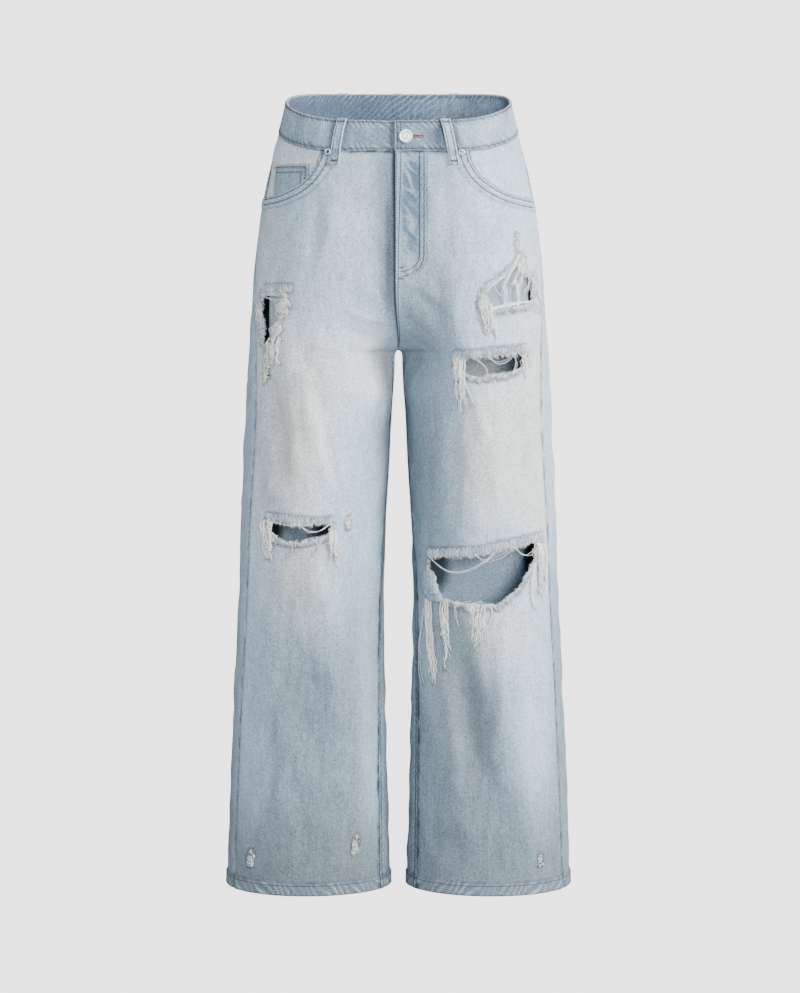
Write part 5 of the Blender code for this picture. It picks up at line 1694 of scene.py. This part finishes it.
def edge_fuzz(rip, spacing, longest):
    """Short threads all round a rip's outline, leaning in and out of the hole."""
    closed, travelled = round_outline(rip.outline)
    count = int(travelled[-1] / spacing)
    spots = draw.uniform(0, travelled[-1], count)
    place = along_line(closed, spots, travelled)
    run = along_line(closed, spots + 0.0005, travelled) - place + 1e-9
    run /= np.linalg.norm(run, axis=-1)[:, None]
    out = np.stack((run[:, 1], -run[:, 0]), axis=-1)
    is_out = edge_distance(rip.outline, *(place + out * 0.001).T) > 0
    out = np.where(is_out[:, None], out, -out)
    start = chance(0.0005, 0.0030, count)
    length = 0.0012 + longest * chance(0, 1, count) ** 2.2
    lean = spread_out(0.5, count)
    shares = steps(5)
    inwards = (start - (start + length) * shares)[..., None]
    sideways = (lean * length * shares
                + spread_out(0.0010, count) * np.sin(math.pi * shares))[..., None]
    path = place[:, None] + out[:, None] * inwards + run[:, None] * sideways
    lift = 0.0003 + chance(0, 0.0016, count) * shares
    return threads(rip.side, path[..., 0], path[..., 1] - length * 0.25 * shares, lift,
                   0.00018, 0.00034)


# %% Bands of straight worn threads
# From one end of a line to the other, how far they start above it and end below it, how many
# there are and how they lean.
BANDS = table("side x0 z0 x1 z1 above below count lean", (
    (-1, 135, -225, 173, -226, 9.5, 1, 120, 0), (-1, 85, -519, 109, -521.5, 7, 1, 80, 0),
    (-1, 109, -521.5, 170, -516, 7.5, 1, 190, 0), (-1, 164, -534, 150, -545, .6, 4, 60, 200),
    (-1, 150, -545, 125, -547, .6, 4, 90, 50), (-1, 125, -547, 100, -542, .6, 4, 90, -50),
    (-1, 100, -542, 86, -534, .6, 4, 60, -100), (-1, 176, -245, 174, -290, 6, 6, 70, 200),
    (1, 106, -230, 150, -189, 6, 3, 130, -250), (1, 120, -249, 170, -241, .6, 5.5, 110, 80),
    (1, 102, -226, 108, -245, 4, 8, 50, 100), (1, 69, -310, 164, -301, 8.5, .8, 280, 0),
    (1, 76, -322, 85, -331, .6, 4.5, 40, 100), (1, 85, -331, 102, -335.5, .6, 4.5, 60, 60),
    (1, 102, -335.5, 136, -331, .6, 4.5, 90, 60), (1, 136, -331, 159, -322, .6, 4.5, 70, 60),
    (1, 38, -566.5, 100, -561, 9.5, 1, 230, 0), (1, 100, -561, 186, -543.5, 9.5, 1, 320, 0),
    (1, 59, -624, 129, -627.5, .6, 6, 190, 40), (1, 129, -627, 156, -605, .6, 6, 90, -250),
    (1, 156, -605, 180, -564, .6, 6, 100, -250), (1, 37, -580, 54, -617, 2, 7, 70, 250),))


def worn_band(row, share):
    """Straight threads side by side along a line."""
    count = int(row.count * share)
    at = chance(0, 1, count)
    top = row.above * chance(0.45, 1.1, count)
    bottom = row.below * chance(0.2, 1.5, count)
    shares = steps(5)
    drop = (top + bottom) * shares
    lean = row.lean + spread_out(0.16, count)
    wave = spread_out(0.0006, count) * np.sin(math.pi * 1.5 * shares)
    lift = 0.00025 + 0.0004 * np.sin(math.pi * shares) + chance(0, 0.0010, count) * shares
    return threads(row.side, between(row.x0, row.x1, at) + lean * drop + wave,
                   between(row.z0, row.z1, at) + top - drop, lift, 0.00026, 0.00046)


# %% Tassels
TWIST_RADIUS = 0.0008
THREADS_IN_YARN = 5
COUNT_IN_YARN = 6         # how much of a row's count one yarn stands for
TASSELS = table("node side top_x top_z top_half bottom_x bottom_z bottom_half count wave", (
    ("fringe_knee_right_outer", -1, 168, -520, 6, 167, -579, 6.5, 46, 2.2),
    ("fringe_knee_right_inner", -1, 85, -533, 4.5, 85, -582, 5.6, 54, 2.2),
    ("fringe_thigh_left", 1, 77, -313, 7, 80, -386, 6.5, 66, 2.4),
    ("fringe_hip_left", 1, 109, -242, 6.6, 115, -286, 7, 66, 2.6),
    ("fringe_knee_left_a", 1, 39, -624, 3.4, 45.5, -740, 3.6, 40, 2),
    ("fringe_knee_left_b", 1, 60, -624, 4, 62, -732, 3, 34, 2.2),
    ("fringe_knee_left_c", 1, 103, -628, 9, 99, -700, 6, 40, 3),
    ("fringe_knee_left_outer", 1, 183, -552, 5.2, 185, -623, 6, 72, 2.2),
    ("fringe_thigh_right", -1, 157, -286, 6.5, 159, -330, 7, 36, 2.4),))


def tassel(row):
    """Long loose yarns, each a few threads twisted round a wavy line, that lie on the leg."""
    yarns = row.count // COUNT_IN_YARN
    shares = steps(19)
    at = np.linspace(-1, 1, yarns)[:, None] + spread_out(0.12, yarns)
    length = 1 - 0.60 * chance(0, 1, yarns) ** 1.3
    side_end = 0.7 * at + 0.5 * chance(-1, 1, yarns)
    x = (row.top_x + at * row.top_half
         + (row.bottom_x - row.top_x + side_end * row.bottom_half
            - at * row.top_half) * shares * length)
    phase = chance(0, 2 * math.pi, yarns)
    turns = chance(1.0, 2.8, yarns)
    x = x + row.wave * chance(0.3, 0.9, yarns) * shares ** 0.6 * np.sin(
        phase + 2 * math.pi * turns * shares)
    z = (row.top_z + chance(0, 0.004, yarns)
         + (row.bottom_z - row.top_z) * shares * length)
    rise = chance(0.0012, 0.0060, yarns)
    lift = 0.0012 + rise * np.sin(math.pi * (0.10 + 0.82 * shares)) ** 2
    x, z, lift = (np.repeat(value, THREADS_IN_YARN, axis=0) for value in (x, z, lift))
    count = len(x)
    loose = TWIST_RADIUS * (0.7 + 1.9 * shares ** 4) * chance(0.5, 1.3, count)
    angle = chance(0, 2 * math.pi, count) + 16 * shares
    z = z[:, :1] + (z - z[:, :1]) * chance(0.60, 1.0, count)
    return threads(row.side, x + loose * np.cos(angle), z, lift + loose * np.sin(angle),
                   0.00026, 0.00046, 4)


for row in TASSELS:
    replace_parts(joined("threads_" + row.node, [tassel(row)], loose_thread), row.node)

# %% Single threads across the holes
STRANDS = table("side x0 z0 x1 z1 x2 z2 radius lift copies", (
    (-1, 174, -229, 155, -230, 140, -231, .26, 1, 5),
    (-1, 170, -233, 156, -237, 143, -233, .24, 1.2, 3),
    (-1, 127.6, -520.6, 109, -530, 85.7, -519, .34, 1.5, 2),
    (-1, 165, -520, 140, -524, 115, -522, .24, 1, 2),
    (-1, 140, -544, 136, -556, 144, -565, .26, 1.2, 2),
    (-1, 109, -542, 104, -553, 111, -561, .26, 1.2, 2),
    (1, 132.2, -213, 135.2, -230, 133, -247, .46, 1.2, 4),
    (1, 147.8, -211, 152.5, -229, 150.8, -247, .46, 1.2, 4),
    (1, 153, -179, 144, -195, 133, -216, .36, 1.8, 5),
    (1, 156, -183, 150, -201, 142, -218, .36, 2, 5),
    (1, 159, -188, 157, -206, 150, -221, .34, 1.8, 4),
    (1, 164, -200, 165.5, -214, 161, -228, .32, 1.6, 4),
    (1, 134, -206, 122, -215, 111, -227, .36, 1.6, 5),
    (1, 120, -217, 129, -229, 133, -220, .3, 1.4, 2),
    (1, 115, -248, 145, -242, 170, -238, .46, 1.8, 5),
    (1, 109, -230, 118, -255, 124, -284, .44, 2.2, 5),
    (1, 170.5, -208, 180, -230, 186, -251.5, .3, 1.2, 3),
    (1, 170, -238, 176, -248, 184, -256, .28, 1.2, 2),
    (1, 90, -307, 108, -320, 110, -333, .26, 1, 2),
    (1, 113, -305, 126, -316, 147, -306, .28, 1.2, 2),
    (1, 145, -304, 148, -316, 144, -329, .28, 1, 2),
    (1, 80, -325, 90, -352, 97, -370, .28, 1.6, 4),
    (1, 156, -304, 164, -318, 160, -333, .34, 1.2, 8),
    (1, 42.5, -567, 78, -585, 126.4, -558, .36, 1.4, 2),
    (1, 100, -561, 118, -570, 150, -552, .26, 1.2, 2),
    (1, 150, -552, 166, -564, 180, -548, .26, 1.2, 2),
    (1, 36, -624, 30, -690, 33, -736, .28, 1.4, 2),
    (1, 176, -574, 172, -606, 176, -633, .3, 1.6, 9),
    (1, 75, -626, 73, -640, 78, -656, .26, 1.4, 3),
    (1, 118, -627, 120, -639, 116, -650, .26, 1.4, 3),))


def bent(start, middle, end, shares):
    """A curve through three values."""
    bend = 2 * middle - (start + end) / 2
    return (1 - shares) ** 2 * start + 2 * shares * (1 - shares) * bend + shares ** 2 * end


def strand(row):
    """A few near copies of one curved thread."""
    shares = steps(15)
    offset = draw.normal(0, 0.0012, (row.copies, 3, 2)).transpose(2, 1, 0)[..., None]
    x = bent(*(np.array((row.x0, row.x1, row.x2))[:, None, None] + offset[0]), shares)
    z = bent(*(np.array((row.z0, row.z1, row.z2))[:, None, None] + offset[1]), shares)
    x = x + 0.0004 * np.sin(shares * 19 + chance(0, 6, row.copies))
    return threads(row.side, x, z, row.lift, row.radius * 0.8, row.radius * 1.15, 5)


# %% Curled clumps
CLUMPS = table("side x z reach_x reach_z count", (
    (-1, 146, -245, 8.5, 11, 52), (-1, 154, -273.5, 7, 8, 36), (-1, 160, -297, 5.5, 7.5, 50),
    (-1, 178, -250, 4.5, 20, 30), (-1, 171.5, -330, 4, 16, 16), (-1, 162, -539, 8, 8, 24),
    (-1, 85, -529, 4, 7, 16), (-1, 64.5, -521, 3, 8, 12), (1, 107, -241, 7, 10, 60),
    (1, 151.2, -170, 2.4, 6, 9), (1, 156, -190, 6, 14, 46), (1, 174, -216, 4.5, 14, 34),
    (1, 74, -318, 6, 9, 28), (1, 161, -316, 6, 11, 28), (1, 43, -599, 8, 14, 34),
    (1, 98, -629, 14, 6, 28), (1, 179, -562, 6, 12, 34), (1, 185, -965, 2.2, 8, 5),
    (-1, 191.5, -964, 4, 12, 8), (-1, 57, -941, 3.5, 11, 7),))


def clump(row):
    """Tangled threads: each wanders with a slowly turning heading."""
    count = row.count
    heading = draw.uniform(0, 2 * math.pi, count)
    x, z = draw.uniform(-0.7, 0.7, count), draw.uniform(-0.7, 0.7, count)
    bend = draw.normal(0, 0.75, count)
    roam = draw.uniform(0.6, 1.4, count)
    path = [(x, z)]
    for _ in range(9):
        heading = heading + bend + draw.normal(0, 0.35, count)
        x, z = x + 0.22 * np.cos(heading), z + 0.22 * np.sin(heading) - 0.03
        too_far = np.maximum(np.hypot(x, z) / roam, 1)
        x, z = x / too_far, z / too_far
        path.append((x, z))
    x, z = np.transpose(path, (1, 2, 0))
    rise = chance(0.0006, 0.0040, count)
    return threads(row.side, row.x + row.reach_x * x, row.z + row.reach_z * z,
                   0.0004 + rise * np.sin(math.pi * steps(10)) ** 2, 0.00028, 0.00050)


# %% Join each rip's threads
loose_pieces = {}
for side, word in SIDES:
    parts = [edge_fuzz(rip, 0.0011 if rip.name.startswith("nick_hem") else 0.0005,
                       0.0028 if rip.name.startswith("nick") else 0.0038)
             for rip in RIPS if rip.side == side]
    for rows, maker in ((STRANDS, strand), (CLUMPS, clump)):
        parts += [maker(row) for row in rows if row.side == side]
    bands = [row for row in BANDS if row.side == side]
    parts += [worn_band(row, 0.4) for row in bands]
    frayed = joined("frayed_threads_" + word, parts, loose_thread)
    edges = joined("frayed_edges_" + word, [worn_band(row, 1.0) for row in bands], blue_thread)
    tassels = [made_pieces["threads_" + row.node] for row in TASSELS if row.side == side]
    loose_pieces[side] = [*tassels, frayed, edges]

# %% [markdown]
# ## The turned-out flap
# At the lower inner corner of the large knee rip a corner of the panel is folded outwards, so
# its paler wrong side shows. It is a small arched sheet between the rip's edge and a line on the
# leg.

# %% Fold the flap
FLAP_EDGE = thousandths(((40, -586), (47, -606), (59, -624.5)))
FLAP_TIP = thousandths(((33, -589), (33, -605), (41.5, -624)))
FLAP_COLUMNS, FLAP_ROWS, FLAP_RISE = 14, 24, 0.0030
down = np.linspace(0, 2, FLAP_ROWS)
edge, tip = (along_line(np.array(line), down, (0, 1, 2)) for line in (FLAP_EDGE, FLAP_TIP))
out = steps(FLAP_COLUMNS)
ragged = 1 + 0.10 * np.sin(down * 17 + 1.0) + 0.06 * np.sin(down * 41)
x = edge[:, :1] + (tip - edge)[:, :1] * out * ragged[:, None]
z = edge[:, 1:] + (tip - edge)[:, 1:] * out
arch = 0.0012 + FLAP_RISE * np.sin(math.pi * out * 0.85) ** 0.7
places = on_face(1, 1, x, z, arch)[0].reshape(-1, 3)
triangles = grid_triangles(*x.shape)
layers = {key: np.zeros(x.size) for key in ("deep", "grime", "rope", "inner_shade")}
layers["fade"] = np.full(x.size, 0.25)
layers["raw"] = np.broadcast_to(0.9 * smooth((out - 0.8) / 0.2), x.shape).ravel()
thicken(make_piece("cloth_knee_flap", places, triangles, (denim_inside, denim_face), layers),
        0.0010)
a, b, c = places[triangles].swapaxes(0, 1)
flap_area = np.linalg.norm(np.cross(b - a, c - a), axis=1).sum() / 2
print("knee flap", round(float(flap_area) * 1e4, 1), "square cm")

# %% [markdown]
# ## Shade under loose threads
# Shade falls where loose threads lie on the cloth, and that is what makes each thread stand out.
# Here that shade is painted: a KD-tree finds the nearest thread to every point of a front panel,
# and the dark line attribute grows as that distance falls.

# %% Darken the cloth beside the threads
SHADE_REACH, SHADE_AMOUNT = 0.0017, 0.66


def vertex_places(mesh):
    """A mesh's vertices as an array."""
    places = np.empty(len(mesh.vertices) * 3, np.float32)
    mesh.vertices.foreach_get("co", places)
    return places.reshape(-1, 3)


for side, word in SIDES:
    threads_near = np.concatenate([vertex_places(piece.data)[::3]
                                   for piece in loose_pieces[side]])
    tree = KDTree(len(threads_near))
    for index, place in enumerate(threads_near):
        tree.insert(place, index)
    tree.balance()
    mesh = made_pieces["cloth_front_" + word + "_panel"].data
    nearest = np.array([tree.find(place)[2] for place in vertex_places(mesh)])
    values = np.empty(len(mesh.vertices), np.float32)
    mesh.attributes["line"].data.foreach_get("value", values)
    shade = SHADE_AMOUNT * bump(nearest - 0.0004, SHADE_REACH)
    mesh.attributes["line"].data.foreach_set("value", np.maximum(values, shade))
    print(word, len(threads_near), "thread points;", int((shade > 0.1).sum()), "darkened")

# %% [markdown]
# ## The cut of each piece
# Every piece of cloth here was cut flat before it was sewn.

# %% [markdown]
# ## Camera and light
# The jeans are seen from straight in front with a long lens, from about chest height, looking a
# little down. One large soft light stands on the right and above, so each leg is bright on its
# right side and falls into shade on its left. A weak sky-like fill keeps the shade open. The
# backdrop and the floor are one pale dome that the camera sees and that throws no light.

# %% Camera
EYE = (0.0020, -3.19022, -0.2445)
PITCH = 4.4808
LENS = 87.888
camera_data = bpy.data.cameras.new("camera")
camera_data.lens = LENS
camera_data.sensor_width = 36.0
camera_data.clip_end = 100.0
camera = add_object("camera", camera_data)
camera.location = EYE
camera.rotation_euler = (math.radians(90 - PITCH), 0, 0)
bpy.context.scene.camera = camera
print("camera at", EYE, "looks", PITCH, "degrees down through", LENS, "mm")

# %% Lights
# Each row: name, place, what it aims at, width and height, power and colour.
LIGHTS = (
    ("key", (2.60, -1.62, 0.95), (0, 0, -0.40), (1.2, 1.9), 222.0, (0.98, 0.995, 1.01)),
    ("front", (0.42, -3.40, -0.10), (0, 0, -0.45), (0.35, 0.5), 92.0, (0.96, 0.99, 1.03)),
    ("left_fill", (-2.8, -0.9, 0.4), (0, 0, -0.45), (1.2, 2.2), 34.0, (0.94, 0.98, 1.03)),
    ("back_light", (1.2, 3.2, 1.2), (0, 0, -0.45), (2.0, 2.0), 130.0, (1.0, 0.99, 0.97)),
)
for name, place, aim, size, power, colour in LIGHTS:
    light_data = bpy.data.lights.new(name, "AREA")
    light_data.shape = "RECTANGLE"
    light_data.size, light_data.size_y = size
    light_data.energy = power
    light_data.color = colour
    light = add_object(name, light_data)
    light.location = place
    aim = Vector(aim) - light.location
    light.rotation_euler = aim.to_track_quat("-Z", "Y").to_euler()
    print(name, "light of", power, "W")
world = bpy.data.worlds.new("studio_fill")
world.use_nodes = True
world.node_tree.nodes["Background"].inputs["Color"].default_value = (0.88, 0.95, 1.02, 1)
world.node_tree.nodes["Background"].inputs["Strength"].default_value = 0.36
bpy.context.scene.world = world

# %% Backdrop and floor
DOME_RADIUS = 14.0
FLOOR_Z = -2.6
DOME_GLOW = 3.1
DOME_RINGS, DOME_SPOKES = 16, 40
dome_points, dome_faces = [], []
for ring in range(DOME_RINGS + 1):
    lean = math.pi * ring / DOME_RINGS
    for spoke in range(DOME_SPOKES):
        around = 2 * math.pi * spoke / DOME_SPOKES
        dome_points.append((DOME_RADIUS * math.sin(lean) * math.cos(around),
                            DOME_RADIUS * math.sin(lean) * math.sin(around),
                            max(FLOOR_Z, DOME_RADIUS * math.cos(lean))))
for low in range(0, DOME_RINGS * DOME_SPOKES, DOME_SPOKES):
    for s in range(DOME_SPOKES):
        t = (s + 1) % DOME_SPOKES
        dome_faces.append((low + s, low + DOME_SPOKES + s, low + DOME_SPOKES + t, low + t))
dome_mesh = bpy.data.meshes.new("studio_dome")
dome_mesh.from_pydata(dome_points, [], dome_faces)
dome = add_object("studio_dome", dome_mesh)
for ray in ("visible_diffuse", "visible_glossy", "visible_transmission",
            "visible_volume_scatter", "visible_shadow"):
    setattr(dome, ray, False)
backdrop = Look("pale_backdrop")
backdrop.tree.nodes.clear()
glow = backdrop.node("Emission", {"Color": (1, 1, 1, 1), "Strength": DOME_GLOW}).outputs[0]
backdrop.node("OutputMaterial", {"Surface": glow})
dome_mesh.materials.append(backdrop.material)
dome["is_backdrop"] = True
print("dome of", len(dome_faces), "faces")

# %% [markdown]
# ## Finish
# The last step prints the box round the dressed model.

# %% Size of the dressed model
low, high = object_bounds()
print("visual box", [round(v, 3) for v in low], [round(v, 3) for v in high])
